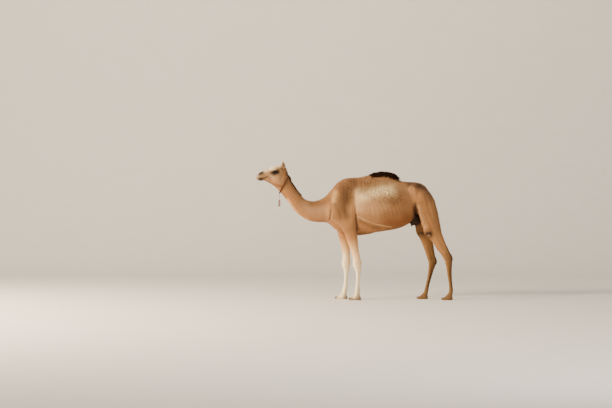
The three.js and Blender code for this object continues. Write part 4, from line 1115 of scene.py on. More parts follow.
def fleece_share(points: Array) -> Array:
    """How curly the coat is: near 1 on the withers and by the hump, patchy by a winding wave."""
    patchy = 0.75 + 0.25 * np.sin(points[:, 0] / 37 + 2 * np.sin(points[:, 2] / 41))
    there = one_side(points)
    return np.maximum(WITHERS.over(there), FLANK.over(there)) ** 1.4 * patchy


def clumps(points: Array) -> Array:
    """The fleece's dark partings, painted shade: 1 plus 0.45 of a winding wave where the coat is
    curly.
    """
    x, _, z = points.T
    wave = np.sin((x + 0.6 * z) / 10.5 + 2.6 * np.sin((z - 0.4 * x) / 17) + 1.2 * np.sin(x / 31))
    return 1 + 0.45 * fleece_share(points) * wave


def coat_colour(points: Array) -> Array:
    """The coat's colour.

    Args:
        points: places on or near the skin in millimetres.

    Returns:
        Linear red, green and blue: the fawn ground, the legs' bands by height, then each patch
        mixed in by its share, the coat's own marks with painted highlights, painted shade and
        painted bounced light among them; all but the forelegs toned down, the fleece's partings
        darker as painted shade.
    """
    x, _, z = points.T
    colour = np.tile(linear(FAWN), (len(points), 1))
    low = ease((LEG_FADE[0] - z) / (LEG_FADE[0] - LEG_FADE[1]))
    front = x < LEGS_PART
    for bands, there in ((FRONT_BANDS, front), (HIND_BANDS, ~front)):
        heights = [height for height, _ in bands]
        tints = np.array([linear(tint) for _, tint in bands])
        band = np.stack([np.interp(z, heights, tints[:, k]) for k in range(3)], -1)
        colour = mixed(colour, band, low * there)
    shown = one_side(points)
    for patch_table, share in ((COAT_MARKS_AND_PAINTED_LIGHT, 1.0), (HEAD_MARKS_AND_PAINTED_LIGHT, ease((-1080 - x) / 60))):
        for colour_patch in patch_table:
            colour = mixed(colour, linear(colour_patch.colour), colour_patch.over(shown) * share)
    for leg, colour_patch in leg_marks_and_painted_light():
        own = ease(points[:, 1] * leg.side / 20) * (front == (leg.end is End.FRONT))
        colour = mixed(colour, linear(colour_patch.colour), colour_patch.over(points) * own)
    tone = TONE + (1 - TONE) * low * front
    return colour * (tone * clumps(points))[:, None]


def hair_colour(points: Array) -> Array:
    """The coat's colour with its dapples."""
    return coat_colour(points) * dappled(points, 5, 0.1)[:, None]


DAPPLE_WAVES = (310.0, 140.0, 90.0, 47.0, 31.0)


def dappled(points: Array, seed: int, share: float) -> Array:
    """A gentle unevenness of the colour.

    Args:
        points: the places.
        seed: the seed of the waves' directions.
        share: how far it goes from 1.

    Returns:
        1 plus the share times the mean of the waves, each bent by itself.
    """
    random = np.random.default_rng(seed)
    total = np.zeros(len(points))
    for length in DAPPLE_WAVES:
        way = random.normal(size=3)
        way *= 2 * math.pi / (length * norm(way))
        total += np.sin(points @ way + random.uniform(0, 6) + 1.3 * np.sin(points @ way[::-1]))
    return 1 + share * total / len(DAPPLE_WAVES)


# ---- finishes ----
class Shader:
    """A material's node tree while it is put together."""

    def __init__(self, name: str) -> None:
        """Starts a material that holds one principled surface.

        Args:
            name: the material's name.
        """
        self.material = bpy.data.materials.new(name)
        self.material.use_nodes = True
        self.tree = self.material.node_tree
        self.tree.nodes.clear()
        self.surface = self.add("BsdfPrincipled")
        self.wire(self.surface, "BSDF", self.add("OutputMaterial"), "Surface")

    def add(self, kind: str, **settings: object) -> Node:
        """Adds a node.

        Args:
            kind: the node's type, without its ShaderNode.
            settings: values of its sockets, spaces written as underscores, or of its properties.

        Returns:
            The node.
        """
        node = self.tree.nodes.new("ShaderNode" + kind)
        for name, value in settings.items():
            socket = node.inputs.get(name.replace("_", " "))
            if socket is None:
                setattr(node, name, value)
            else:
                socket.default_value = value
        return node

    def wire(self, source: Node, output: str, target: Node, socket: str) -> None:
        """Links an output of one node to a socket of another."""
        self.tree.links.new(source.outputs[output], target.inputs[socket])

    def set(self, **values: object) -> None:
        """Sets sockets of the surface, spaces written as underscores."""
        for name, value in values.items():
            self.surface.inputs[name.replace("_", " ")].default_value = value

    def noise(
        self, scale: float, stretch: Sequence[float] = (1, 1, 1), **settings: object
    ) -> Node:
        """Adds a noise texture in the object's own space.

        Args:
            scale: how fine it is.
            stretch: how much finer it is along each axis.
            settings: its other values.

        Returns:
            The texture's node.
        """
        place = self.add("TexCoord")
        sized = self.add("Mapping", Scale=tuple(stretch))
        self.wire(place, "Object", sized, "Vector")
        noise = self.add("TexNoise", Scale=scale, **settings)
        self.wire(sized, "Vector", noise, "Vector")
        return noise

    def relief(self, noise: Node, strength: float, depth: float) -> None:
        """Lets a noise raise the surface as a bump of the given strength and depth in metres."""
        bumped = self.add("Bump", Strength=strength, Distance=depth)
        self.wire(noise, "Fac", bumped, "Height")
        self.wire(bumped, "Normal", self.surface, "Normal")

    def paint(self, noise: Node, **limits: float) -> None:
        """Takes the base colour from the mesh, times a noise.

        Args:
            noise: the noise.
            limits: what it is brought between.
        """
        told = self.add("Attribute", attribute_name=COLOUR)
        shade = self.add("MapRange", **limits)
        self.wire(noise, "Fac", shade, "Value")
        scaled = self.add("VectorMath", operation="SCALE")
        self.wire(told, "Vector", scaled, "Vector")
        self.wire(shade, "Result", scaled, "Scale")
        self.wire(scaled, "Vector", self.surface, "Base Color")


@dataclass(frozen=True)
class HairFinish:
    """Hair whose colour comes from the mesh, mottled a little, with the grain of its lie."""

    name: str
    slot: str
    grain: float = 260.0
    stretch: Spot = (0.35, 1.0, 1.0)
    mottle: float = 0.35
    depth: float = 0.0035
    roughness: float = 0.82
    sheen: float = 0.06
    gloss: float = 0.25

    def material(self) -> bpy.types.Material:
        """The hair's material: the colour attribute times a noise between 1 - mottle and 1."""
        shader = Shader(self.name)
        noise = shader.noise(self.grain, self.stretch, Detail=5.0, Roughness=0.65)
        shader.paint(noise, From_Min=0.3, From_Max=0.7, To_Min=1 - self.mottle, To_Max=1.06)
        shader.set(Roughness=self.roughness, Specular_IOR_Level=self.gloss)
        shader.set(Sheen_Weight=self.sheen, Sheen_Roughness=0.5)
        shader.relief(noise, 0.55, self.depth)
        return shader.material


@dataclass(frozen=True)
class SolidFinish:
    """A dense stuff mottled between two colours."""

    name: str
    slot: str
    dark: Rgb
    light: Rgb
    grain: float
    roughness: float
    depth: float = 0.001
    stretch: Spot = (1.0, 1.0, 1.0)
    gloss: float = 0.4

    def material(self) -> bpy.types.Material:
        """The stuff's material: a ramp between its two colours over noise, with a fine relief."""
        shader = Shader(self.name)
        noise = shader.noise(self.grain, self.stretch, Detail=6.0, Roughness=0.6)
        ramp = shader.add("ValToRGB")
        stops = zip(ramp.color_ramp.elements, (0.34, 0.68), (self.dark, self.light))
        for stop, position, colour in stops:
            stop.position, stop.color = position, (*linear(colour), 1)
        shader.wire(noise, "Fac", ramp, "Fac")
        shader.wire(ramp, "Color", shader.surface, "Base Color")
        shader.set(Roughness=self.roughness, Specular_IOR_Level=self.gloss)
        shader.relief(noise, 0.5, self.depth)
        return shader.material


@dataclass(frozen=True)
class EyeFinish:
    """A wet eye whose colour comes from the mesh."""

    name: str
    slot: str

    def material(self) -> bpy.types.Material:
        """The eye's material: the colour attribute, mottled finely, under a clear wet coat."""
        shader = Shader(self.name)
        shader.paint(shader.noise(900.0, Detail=3.0), To_Min=0.75, To_Max=1.25)
        shader.set(Roughness=0.3, IOR=1.36, Specular_IOR_Level=0.15)
        shader.set(Coat_Weight=0.3, Coat_Roughness=0.03)
        return shader.material


Finish = HairFinish | SolidFinish | EyeFinish

SKIN_HAIR = HairFinish("Short_coat", "coat", mottle=0.2)
TUFT_HAIR = HairFinish("Coat_tufts", "coat", grain=90.0, depth=0.0, mottle=0.2)
DARK_HAIR = HairFinish(
    "Dark_hair", "dark_hair", grain=120.0, depth=0.0, mottle=0.5, sheen=0.0, gloss=0.1
)
FACE_HAIR = HairFinish("Ear_hair", "face_coat", grain=300.0, depth=0.002)
EYE_GLOSS = EyeFinish("Wet_eye", "eye")
HORN = SolidFinish("Nail_horn", "horn", (58, 46, 36), (104, 88, 70), 60.0, 0.5, 0.0012, (1, 1, 0.3))
UDDER_SKIN = SolidFinish(
    "Udder_skin", "udder_skin", (18, 8, 4), (56, 33, 19), 38.0, 0.62, 0.003, gloss=0.2
)
ROPE = SolidFinish("Wool_rope", "rope", (38, 12, 8), (82, 28, 17), 420.0, 0.9, 0.0015)
FITTING = SolidFinish("Dark_fitting", "pendant_fitting", (34, 26, 24), (84, 62, 50), 150.0, 0.5)
GREEN_YARN = SolidFinish("Green_yarn", "green_tassel", (38, 128, 96), (92, 200, 150), 300.0, 0.85)
RED_YARN = SolidFinish("Red_yarn", "red_tassel", (140, 18, 42), (214, 44, 84), 300.0, 0.85)
BACKDROP = SolidFinish("Pale_floor", "", (248, 245, 240), (251, 248, 244), 3.0, 0.9, 0.0)


def dressed(piece: Piece, finish: Finish) -> Piece:
    """Gives a piece its finish.

    Args:
        piece: the object.
        finish: its finish, made into a material once.

    Returns:
        The same object.
    """
    found = bpy.data.materials.get(finish.name) or finish.material()
    piece.data.materials.append(found)
    return piece


def coloured(piece: Piece, colours: Array) -> Piece:
    """Writes a piece's colour attribute.

    Args:
        piece: the object.
        colours: linear colours, one to a point.

    Returns:
        The same object.
    """
    layer = piece.data.color_attributes.new(COLOUR, "FLOAT_COLOR", "POINT")
    rows = np.column_stack([np.clip(colours, 0, 1), np.ones(len(colours))])
    layer.data.foreach_set("color", rows.astype(np.float32).ravel())
    return piece


def placed(piece: Piece, *nodes: str) -> Piece:
    """Lets a piece ride the body and logs it.

    Args:
        piece: the object.
        nodes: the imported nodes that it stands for.

    Returns:
        The same object.
    """
    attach(piece, BODY)
    if nodes:
        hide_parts(*nodes)
    log.info("%s: %d triangles", piece.name, len(piece.data.polygons))
    return piece


# ---- the pieces ----
LEG_PIECES = {
    End.FRONT: ("forearm", "cannon", "foot"),
    End.HIND: ("thigh", "gaskin", "cannon", "foot"),
}


@dataclass
class Hide:
    """The one skin over all the flesh, from the lips to the soles and the tail's tip."""

    net: Net = field(init=False)

    def nodes(self) -> list[str]:
        """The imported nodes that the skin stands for."""
        names = ["torso", "hump", "tail", "neck_upper", "neck_lower", "head"]
        for leg in LEGS:
            names += [leg.node(piece) for piece in LEG_PIECES[leg.end]]
        return names

    def build(self) -> Piece:
        """Makes the skin and colours it."""
        self.net = skin_net()
        piece = self.net.mesh("skin")
        coloured(piece, hair_colour(self.net.points))
        return placed(dressed(piece, SKIN_HAIR), *self.nodes())


@dataclass(frozen=True)
class Eyes:
    """Two dark eyes with wide pupils that lie level."""

    fineness: int = 40
    cornea: float = 0.9
    axis: Spot = (-0.25, 0.95, 0.02)
    pupil: tuple[float, float] = (0.45, 0.24)
    iris: Rgb = (30, 17, 9)
    rim: Rgb = (10, 7, 5)
    white: Rgb = (22, 13, 9)

    def build(self) -> None:
        """Makes each eyeball, swollen at the cornea, coloured by how near to its axis it is."""
        for side in SIDES:
            middle = EYE * [1, side, 1]
            net = ball_net(middle, (EYE_RADIUS,) * 3, self.fineness)
            out = (net.points - middle) / EYE_RADIUS
            axis = np.array(self.axis) * [1, side, 1]
            axis /= norm(axis)
            near = out @ axis
            off = out - near[:, None] * axis
            slot = np.hypot(off[:, 0] / self.pupil[0], off[:, 2] / self.pupil[1])
            swell = self.cornea * ease((near - 0.8) / 0.15)
            piece = net.moved(out * swell[:, None]).mesh(f"eyeball_{SIDE_NAMES[side]}")
            dark = linear(self.rim)
            colour = mixed(linear(self.iris), 0.2 * dark, ease((slot - 0.9) / -0.2))
            colour = mixed(colour, dark, ease((0.62 - near) / 0.14))
            colour = mixed(colour, linear(self.white), ease((0.38 - near) / 0.2))
            coloured(piece, colour)
            placed(dressed(piece, EYE_GLOSS), f"eye_{SIDE_NAMES[side]}")


@dataclass(frozen=True)
class Ears:
    """Two small upright ears, cupped blades that open forwards and outwards."""

    root: Spot = (-1104, 58, 2022)
    lean: Spot = (0.12, 0.42, 0.9)
    facing: Spot = (-0.62, 0.78, 0)
    length: float = 126.0
    width: float = 18.0
    belly: float = 12.5
    taper: float = 17.0
    wall: float = 5.0
    bow: float = 16.0
    rings: int = 26
    arc: int = 18
    back: Rgb = (150, 108, 68)
    inner: Rgb = (84, 60, 44)
    fringe: Rgb = (206, 176, 138)
    hairs: int = 2600
    hair_width: float = 1.7

    def frame_of(self, side: int) -> tuple[Array, Array, Array, Array]:
        """One ear's own axes.

        Args:
            side: which side of the head.

        Returns:
            The root, the lean, the facing square to it, and the way across.
        """
        told = (self.root, self.lean, self.facing)
        root, lean, facing = (np.array(v) * [1, side, 1] for v in told)
        lean = lean / norm(lean)
        facing = facing - lean * (facing @ lean)
        facing /= norm(facing)
        return root, lean, facing, np.cross(lean, facing)

    def outline(self) -> tuple[Array, Array]:
        """An ear's sections: the back half an oval, the front a lesser one, hollowed out.

        Returns:
            By ring and by place round it, the share of the length and the place along the facing,
            and the place across.
        """
        t = np.linspace(0.04, 0.995, self.rings)[:, None]
        turn = np.linspace(-math.pi / 2, math.pi / 2, self.arc)[None]
        swell = self.belly * np.sin(math.pi * np.clip((t - 0.1) / 0.9, 0, 1))
        half = self.width + swell - self.taper * np.clip(t - 0.55, 0, 1) ** 0.8
        half = half * np.sqrt(np.clip((1.02 - t) / 0.12, 0, 1))
        cup = ease((t - 0.1) / 0.24)
        inner = np.maximum(half - self.wall * cup, 0.5)
        bowl = (1 - cup) * half * 0.9 - cup * np.maximum(half * 0.9 - self.wall, 0)
        deep = np.hstack([-half * np.cos(turn), (bowl * np.cos(turn) + 1.0)[:, ::-1]])
        wide = np.hstack([half * np.sin(turn), (inner * np.sin(turn))[:, ::-1]])
        deep += self.bow * t**2
        return np.stack([t + 0 * deep, deep], -1), wide

    def build(self) -> None:
        """Makes each ear from its sections, and its fur."""
        heights, wide = self.outline()
        for side in SIDES:
            root, lean, facing, across = self.frame_of(side)
            rings = root + heights[..., :1] * self.length * lean + heights[..., 1:] * facing
            net = outward(ring_net(rings + wide[..., None] * across))
            piece = net.mesh(f"ear_blade_{SIDE_NAMES[side]}")
            count = len(net.points)
            ring = np.arange(count) % (2 * self.arc)
            hollow = (ring >= self.arc) & (np.arange(count) < self.rings * 2 * self.arc)
            edge = np.abs((ring - self.arc) / self.arc - 0.5) * 2
            inside = mixed(linear(self.inner), linear(self.fringe), ease((edge - 0.5) / 0.5))
            coloured(piece, np.where(hollow[:, None], inside, linear(self.back)))
            placed(dressed(piece, FACE_HAIR), f"ear_{SIDE_NAMES[side]}")
            self.fur(net, side)

    def rim(self, points: Array, side: int) -> Array:
        """How near points lie to an ear's rim: 0.3 in its middle, 1.3 at the rim."""
        root, _, _, across = self.frame_of(side)
        off = (points - root) @ across
        return 0.3 + ease((np.abs(off) - 0.62 * self.width) / 8)

    def fur(self, net: Net, side: int) -> None:
        """Short hair that runs up the ear and stands out as a fringe along its rim.

        Args:
            net: the ear.
            side: which side of the head.
        """
        random = np.random.default_rng(42 + side)
        _, lean, facing, _ = self.frame_of(side)
        roots = Roots.strewn(net, self.hairs, partial(self.rim, side=side), random)
        rim = self.rim(roots.points, side)
        n = len(rim)
        lie = roots.lie(np.tile(lean + 0.25 * facing, (n, 1)), 0.2, random)
        length = random.uniform(6, 11, n) * rim
        hollow = mixed(linear(self.inner), linear(self.fringe), ease(rim - 0.3))
        tint = mixed(linear(self.back), hollow, ease((roots.normals @ facing) / 0.4))
        hair = Growth(roots, lie, length, np.full(n, self.hair_width), 0.3 * length, 0 * lie, tint)
        locks = Locks(sink=0.6, thick=0.2)
        Fleece(f"ear_fur_{SIDE_NAMES[side]}", locks, FACE_HAIR, 0.9, 1.1, 0.1).build(hair, random)


@dataclass(frozen=True)
class Nails:
    """A blunt nail on each of the two toes of every foot."""

    radii: Spot = (17, 15, 19)
    ahead: float = 86.0
    spread: float = 34.0
    height: float = 21.0
    ground: float = 3.0

    def build(self) -> None:
        """Makes the eight nails, each an oval cap bedded in the toe's front, cut flat below."""
        for leg in LEGS:
            k = leg.foot_size
            x = leg.pose[-1][0] - FOOT_REACH
            order = (-1, 1) if leg.side > 0 else (1, -1)
            for number, toe in enumerate(order, 1):
                y = leg.side * SOLE_SPREAD + toe * self.spread * k
                net = ball_net((x - self.ahead * k, y, self.height), np.array(self.radii) * k, 14)
                net.points[:, 0] -= 6 * ease((26 - net.points[:, 2]) / 26)
                net.points[:, 2] = np.maximum(net.points[:, 2], self.ground)
                node = leg.node("nail") + f"_{number}"
                placed(dressed(net.mesh(node + "_horn"), HORN), node)


@dataclass(frozen=True)
class Udder:
    """The dark udder between the thighs, four teats below it."""

    bag: Ball = Ball((935, 0, 1262), (86, 74, 112), 30, -18)
    teats: tuple[tuple[float, float], ...] = ((896, 1176), (958, 1160))
    spread: float = 36.0
    drop: float = 42.0
    box: Path = ((810.0, -110.0, 1080.0), (1060.0, 110.0, 1400.0))
    step: float = 6.0

    def forms(self) -> list[Form]:
        """The bag, two lobes a side, and a teat below each."""
        forms: list[Form] = [self.bag]
        for x, _ in self.teats:
            forms += both(Ball((x + 10, 34, 1215), (50, 40, 62), 26))
        for x, z in self.teats:
            forms += both(Strand((
                (x, self.spread, z + 22, 15, 15), (x - 2, self.spread, z - 12, 11, 11),
                (x - 3, self.spread, z - self.drop, 7, 7),
            ), 14))
        return forms

    def build(self) -> None:
        """Makes the udder as its own net, with veins: a sine of the height, bent by a sine."""
        value = partial(melted, self.forms())
        net = settled(grid_net(value, *(np.array(corner) for corner in self.box), self.step), value)
        x, _, z = net.points.T
        veins = 1.6 * np.sin(z / 11 + 3 * np.sin(x / 23)) * ease((z - 1190) / 40)
        net = net.moved(net.normals() * veins[:, None])
        placed(dressed(net.mesh("udder_bag"), UDDER_SKIN), "udder")
# ---- the coat ----
def unit(vectors: Array) -> Array:
    """The vectors at length 1."""
    return vectors / (norm(vectors, axis=1)[:, None] + TINY)


@dataclass(frozen=True)
class Roll:
    """One length of the body rolled out flat round its own line, into a box of the unit square."""

    forms: tuple[Form, ...]
    line: Path
    corner: tuple[float, float]
    size: tuple[float, float]

    def place(self, points: Array) -> Array:
        """Where points come to lie.

        Args:
            points: the places.

        Returns:
            Across: the turn round the line. Along: the share of the line passed.
        """
        line = np.array(self.line, float)
        _, share = path_gap(points, line)
        lengths = np.concatenate([[0], np.cumsum(norm(np.diff(line, axis=0), axis=1))])
        at = share * lengths[-1]
        middle = np.stack([np.interp(at, lengths, line[:, k]) for k in range(3)], -1)
        step = np.clip(np.searchsorted(lengths, at, "right") - 1, 0, len(line) - 2)
        along = unit(np.diff(line, axis=0))[step]
        across = unit(LATERAL - along * along[:, 1:2])
        up = np.cross(along, across)
        off = points - middle
        turn = np.arctan2(np.sum(off * across, axis=1), np.sum(off * up, axis=1)) / (2 * math.pi) + 0.5
        flat = np.stack([turn, share], -1) * 0.98 + 0.01
        return np.array(self.corner) + flat * np.array(self.size)


def line_of(strand: Strand) -> Path:
    """The middle line of a strand."""
    return tuple(station[:3] for station in strand.stations)


FACE_LINE = ((-1090, 0, 1900), (-1250, 0, 1920), (-1400, 0, 1915), (-1510, 0, 1890))
ROLLS = (
    Roll((BARREL, RIDGE, *HUMP, BREAST), line_of(BARREL), (0.0, 0.0), (0.62, 0.62)),
    Roll((NECK,), line_of(NECK), (0.0, 0.64), (0.4, 0.35)),
    Roll(tuple(HEAD[:2]), FACE_LINE, (0.42, 0.64), (0.36, 0.35)),
    Roll((TAIL,), line_of(TAIL), (0.8, 0.64), (0.18, 0.35)),
    *(
        Roll((leg.lower(), *leg.foot()), line_of(leg.lower()), (0.64 + 0.09 * i, 0.0), (0.08, 0.62))
        for i, leg in enumerate(LEGS)
    ),
)


def unrolled(points: Array) -> Array:
    """Each point's place on the unwrap of the skin.

    Args:
        points: the places.

    Returns:
        Where each comes to lie on the roll whose forms it is closest to.
    """
    values = np.stack([
        np.min([form.value(points) for form in roll.forms], axis=0) for roll in ROLLS
    ])
    nearest = values.argmin(0)
    flat = np.zeros((len(points), 2))
    for i, roll in enumerate(ROLLS):
        own = nearest == i
        if own.any():
            flat[own] = roll.place(points[own])
    return flat


PATCH = 0.003  # how wide one tuft's patch is on the unwrap


def coat_lie(points: Array) -> Array:
    """Which way the hair runs, before it is laid flat.

    Args:
        points: the places.

    Returns:
        Back and down on the trunk, down the neck, back over the face, down the legs.
    """
    x, y, z = points.T
    way = np.tile([1.0, 0.0, -0.62], (len(points), 1))
    way[:, 1] = 0.35 * np.sign(y) * ease((z - 1600) / 200)
    way = mixed(way, np.array([0.75, 0.0, -0.66]), ease((-420 - x) / 160))
    face = ease((-1090 - x) / 60) * ease((z - 1700) / 80)
    way = mixed(way, np.array([1.0, 0.0, 0.16]), face)
    return mixed(way, np.array([0.16, 0.0, -1.0]), ease((1180 - z) / 200))


@dataclass(frozen=True)
class Roots:
    """Where hair grows: points on the skin with the skin's normals there."""

    points: Array
    normals: Array

    @staticmethod
    def strewn(net: Net, count: int, density: Field, random: Draws) -> "Roots":
        """Roots strewn over a net.

        Args:
            net: the skin.
            count: how many roots.
            density: how close they grow, by place.
            random: the draws.

        Returns:
            Roots in faces drawn by area times density, each at an even place in its face.
        """
        corners = net.points[net.faces]
        weight = net.areas() * density(corners.mean(1))
        face = random.choice(len(weight), count, p=weight / weight.sum())
        a, b = random.random((2, count, 1))
        over = a + b > 1
        a, b = np.where(over, 1 - a, a), np.where(over, 1 - b, b)
        share = np.stack([1 - a - b, a, b], 1)
        normals = net.normals()[net.faces[face]]
        return Roots(np.sum(corners[face] * share, axis=1), unit(np.sum(normals * share, axis=1)))

    def kept(self, keep: NDArray[np.bool_] | slice) -> "Roots":
        """Only the roots that keep marks."""
        return Roots(self.points[keep], self.normals[keep])

    def lie(self, way: Array, stray: float, random: Draws) -> Array:
        """The way strayed by draws, less its part along the normal, at length 1."""
        way = way + random.normal(0, stray, way.shape)
        return unit(way - self.normals * np.sum(way * self.normals, axis=1)[:, None])


@dataclass(frozen=True)
class Growth:
    """Locks as they grow, a row to each: the roots, the way each runs along the skin, its length
    and width, how far its tip stands off, the offset that pulls the tip, and its linear colour."""

    roots: Roots
    lie: Array
    length: Array
    width: Array
    lift: Array
    fall: Array
    colours: Array

    def part(self, rows: slice) -> "Growth":
        """Only the locks of some rows."""
        return Growth(
            self.roots.kept(rows), self.lie[rows], self.length[rows], self.width[rows],
            self.lift[rows], self.fall[rows], self.colours[rows],
        )


# The faces of a spike with corners left, right, top and tip.
SPIKE = ((0, 2, 1), (0, 3, 2), (2, 3, 1), (1, 3, 0))


@dataclass(frozen=True)
class Locks:
    """How hairs, tufts or locks are formed, each a closed tapering blade of three sides: with
    rings, widest along its length; with none, a spike that is widest at its root."""

    rings: int = 0
    sink: float = 0.35
    thick: float = 0.18
    waves: float = 0.0
    sway: float = 0.0

    def pattern(self) -> list[Sequence[int]]:
        """The faces of one lock.

        Returns:
            A spike's; or a fan from the root's point 0 to the first ring of three, three bands of
            two from each ring to the next, and a fan to the tip.
        """
        if not self.rings:
            return list(SPIKE)
        faces: list[Sequence[int]] = [[0, 1, 3], [0, 3, 2], [0, 2, 1]]
        for a in range(1, 3 * self.rings - 2, 3):
            for i, j in ((0, 2), (2, 1), (1, 0)):
                faces += [[a + i, a + i + 3, a + j + 3], [a + i, a + j + 3, a + j]]
        last, tip = 3 * self.rings - 2, 3 * self.rings + 1
        return faces + [[tip, last + 2, last], [tip, last + 1, last + 2], [tip, last, last + 1]]

    def grow(self, hair: Growth, random: Draws) -> tuple[Net, Array]:
        """Builds the locks.

        Args:
            hair: where and how they grow.
            random: the draws.

        Returns:
            The net, and for each point how far along its lock it lies. A lock's line is its lie
            times the share of its length, raised by lift times share^0.7, pulled by fall times
            share^2, and swayed by a sine. Its width follows sin(pi share^0.75)^0.8.
        """
        roots, n = hair.roots, len(hair.length)
        side = np.cross(roots.normals, hair.lie)
        phase = random.uniform(0, 2 * math.pi, n)
        high = roots.normals * (hair.width * self.thick)[:, None]
        sunk = roots.points - roots.normals * self.sink

        def line(share: float) -> Array:
            """The places that lie at one share of each lock's length."""
            raised = roots.normals * (hair.lift * share**0.7)[:, None]
            sway = self.sway * np.sin(2 * math.pi * self.waves * share + phase) * min(1, 3 * share)
            middle = roots.points + hair.lie * (hair.length * share)[:, None] + raised
            return middle + hair.fall * share**2 + side * (sway * hair.width)[:, None]

        if self.rings:
            rows, shares = [sunk], [0.0]
            for share in np.linspace(0, 1, self.rings + 2)[1:-1]:
                swell = math.sin(math.pi * min(1, share**0.75)) ** 0.8
                half = side * (hair.width / 2 * swell)[:, None]
                middle = line(share)
                rows += [middle - half, middle + half, middle + high]
                shares += [share] * 3
        else:
            half = side * (hair.width / 2)[:, None]
            rows, shares = [sunk - half, sunk + half, roots.points + high], [0.0, 0.0, 0.1]
        points = np.stack([*rows, line(1.0)], axis=1)
        starts = np.arange(n) * points.shape[1]
        faces = np.array(self.pattern())[None] + starts[:, None, None]
        return Net(points.reshape(-1, 3), faces.reshape(-1, 3)), np.tile([*shares, 1.0], n)


@dataclass(frozen=True)
class Fleece:
    """Locks made into objects, with their colours and their places on the unwrap."""

    name: str
    locks: Locks
    finish: Finish
    # root_shade darkens each lock towards its root as painted shade
    root_shade: float
    tip_shade: float
    spread: float
    most: int = 190_000

    def build(self, hair: Growth, random: Draws) -> None:
        """Makes the objects, few enough triangles in each.

        Args:
            hair: where and how the locks grow, each one's colour to be darkened to its root as
                painted shade and lightened to its tip.
            random: the draws.
        """
        size = self.most // (6 * self.locks.rings or len(SPIKE))
        flat = unrolled(hair.roots.points)
        tint = 1 + random.normal(0, self.spread, (len(hair.length), 1))
        hair = replace(hair, colours=hair.colours * np.clip(tint, 0.6, 1.5))
        for number, start in enumerate(range(0, len(hair.length), size), 1):
            rows = slice(start, start + size)
            own = hair.part(rows)
            net, share = self.locks.grow(own, random)
            count = len(net.points) // len(own.length)
            shade = self.root_shade + (self.tip_shade - self.root_shade) * share
            piece = net.mesh(f"{self.name}_{number}", self.locks.rings > 0)
            coloured(piece, np.repeat(own.colours, count, axis=0) * shade[:, None])
            turn = 2.4 * np.tile(np.arange(count), len(own.length))
            spots = np.repeat(flat[rows], count, axis=0)
            spots = spots + PATCH / 2 * np.stack([np.cos(turn), np.sin(turn)], -1)
            layer = piece.data.uv_layers.new(name=BAKE_MAP)
            layer.data.foreach_set("uv", spots[net.faces.ravel()].astype(np.float32).ravel())
            placed(dressed(piece, self.finish))


@dataclass(frozen=True)
class Coat:
    """Short fur over the whole skin, longer on the trunk, shortest on the face and the feet."""

    count: int = 255_000
    seed: int = 11
    lowest: float = 12.0

    @staticmethod
    def length(points: Array) -> Array:
        """The fur's length.

        Args:
            points: the places.

        Returns:
            20 on the trunk, 8 on the head, 13 on the legs and 9 at the feet, less at the muzzle.
        """
        x, _, z = points.T
        length = np.full(len(points), 20.0)
        length += ease((-1085 - x) / 70) * ease((z - 1700) / 60) * (8.0 - length)
        length += ease((1150 - z) / 200) * (13.0 - length)
        length += ease((500 - z) / 300) * (9.0 - length)
        return length - 3.0 * bump(np.hypot(x + 1475, z - 1905), 60)

    @staticmethod
    def density(points: Array) -> Array:
        """How close the fur grows.

        Args:
            points: the places.

        Returns:
            The power -1.5 of the fur's length, falling to 0 on lids, lips and nostrils.
        """
        bare = ease((from_eye(points) - 27) / 9)
        face = ease((-1300 - points[:, 0]) / 30)
        for path, clear in ((MOUTH, 6.0), (NOSTRIL, 9.0)):
            far, _ = path_gap(side_view(points), np.array(path, float))
            bare = bare * (1 - face * ease((clear + 6 - far) / 6))
        return bare * (14 / Coat.length(points)) ** 1.5

    def build(self, net: Net) -> None:
        """Strews the fur over the skin.

        Args:
            net: the skin.
        """
        random = np.random.default_rng(self.seed)
        count = self.count
        roots = Roots.strewn(net, count, self.density, random)
        roots = roots.kept(roots.points[:, 2] > self.lowest)
        length = self.length(roots.points) * random.uniform(0.75, 1.25, len(roots.points))
        lie = roots.lie(coat_lie(roots.points), 0.16, random)
        width = (0.7 + 0.15 * length) * random.uniform(0.75, 1.3, len(length))
        lift = 0.008 * length**2 * random.uniform(0.4, 1.3, len(length))
        hair = Growth(roots, lie, length, width, lift, 0 * lie, hair_colour(roots.points))
        Fleece("coat", Locks(), TUFT_HAIR, 0.94, 1.06, 0.06).build(hair, random)


@dataclass(frozen=True)
class Curls:
    """Longer wavy locks on the withers and down the hump's sides, dark between pale crests."""

    count: int = 15_500
    seed: int = 12
    shades: tuple[float, ...] = (0.62, 0.85, 1.1, 1.28)
    locks: Locks = Locks(rings=3, sink=2.5, thick=0.45, waves=1.0, sway=0.5)

    def build(self, net: Net) -> None:
        """Strews the curls where the fleece grows.

        Args:
            net: the skin.
        """
        random = np.random.default_rng(self.seed)
        roots = Roots.strewn(net, self.count, fleece_share, random)
        length = random.uniform(20, 38, self.count)
        width = random.uniform(4, 7.5, self.count)
        lift = random.uniform(2.5, 6.5, self.count)
        lie = roots.lie(coat_lie(roots.points), 0.45, random)
        fall = np.array([0, 0, -0.18]) * length[:, None]
        strength = np.clip(0.3 + fleece_share(roots.points)[:, None], 0, 1)
        shade = random.choice(self.shades, (self.count, 1))
        colours = coat_colour(roots.points) * (1 + (shade - 1) * strength)
        hair = Growth(roots, lie, length, width, lift, fall, colours)
        Fleece("curls", self.locks, TUFT_HAIR, 0.68, 1.15, 0.1).build(hair, random)


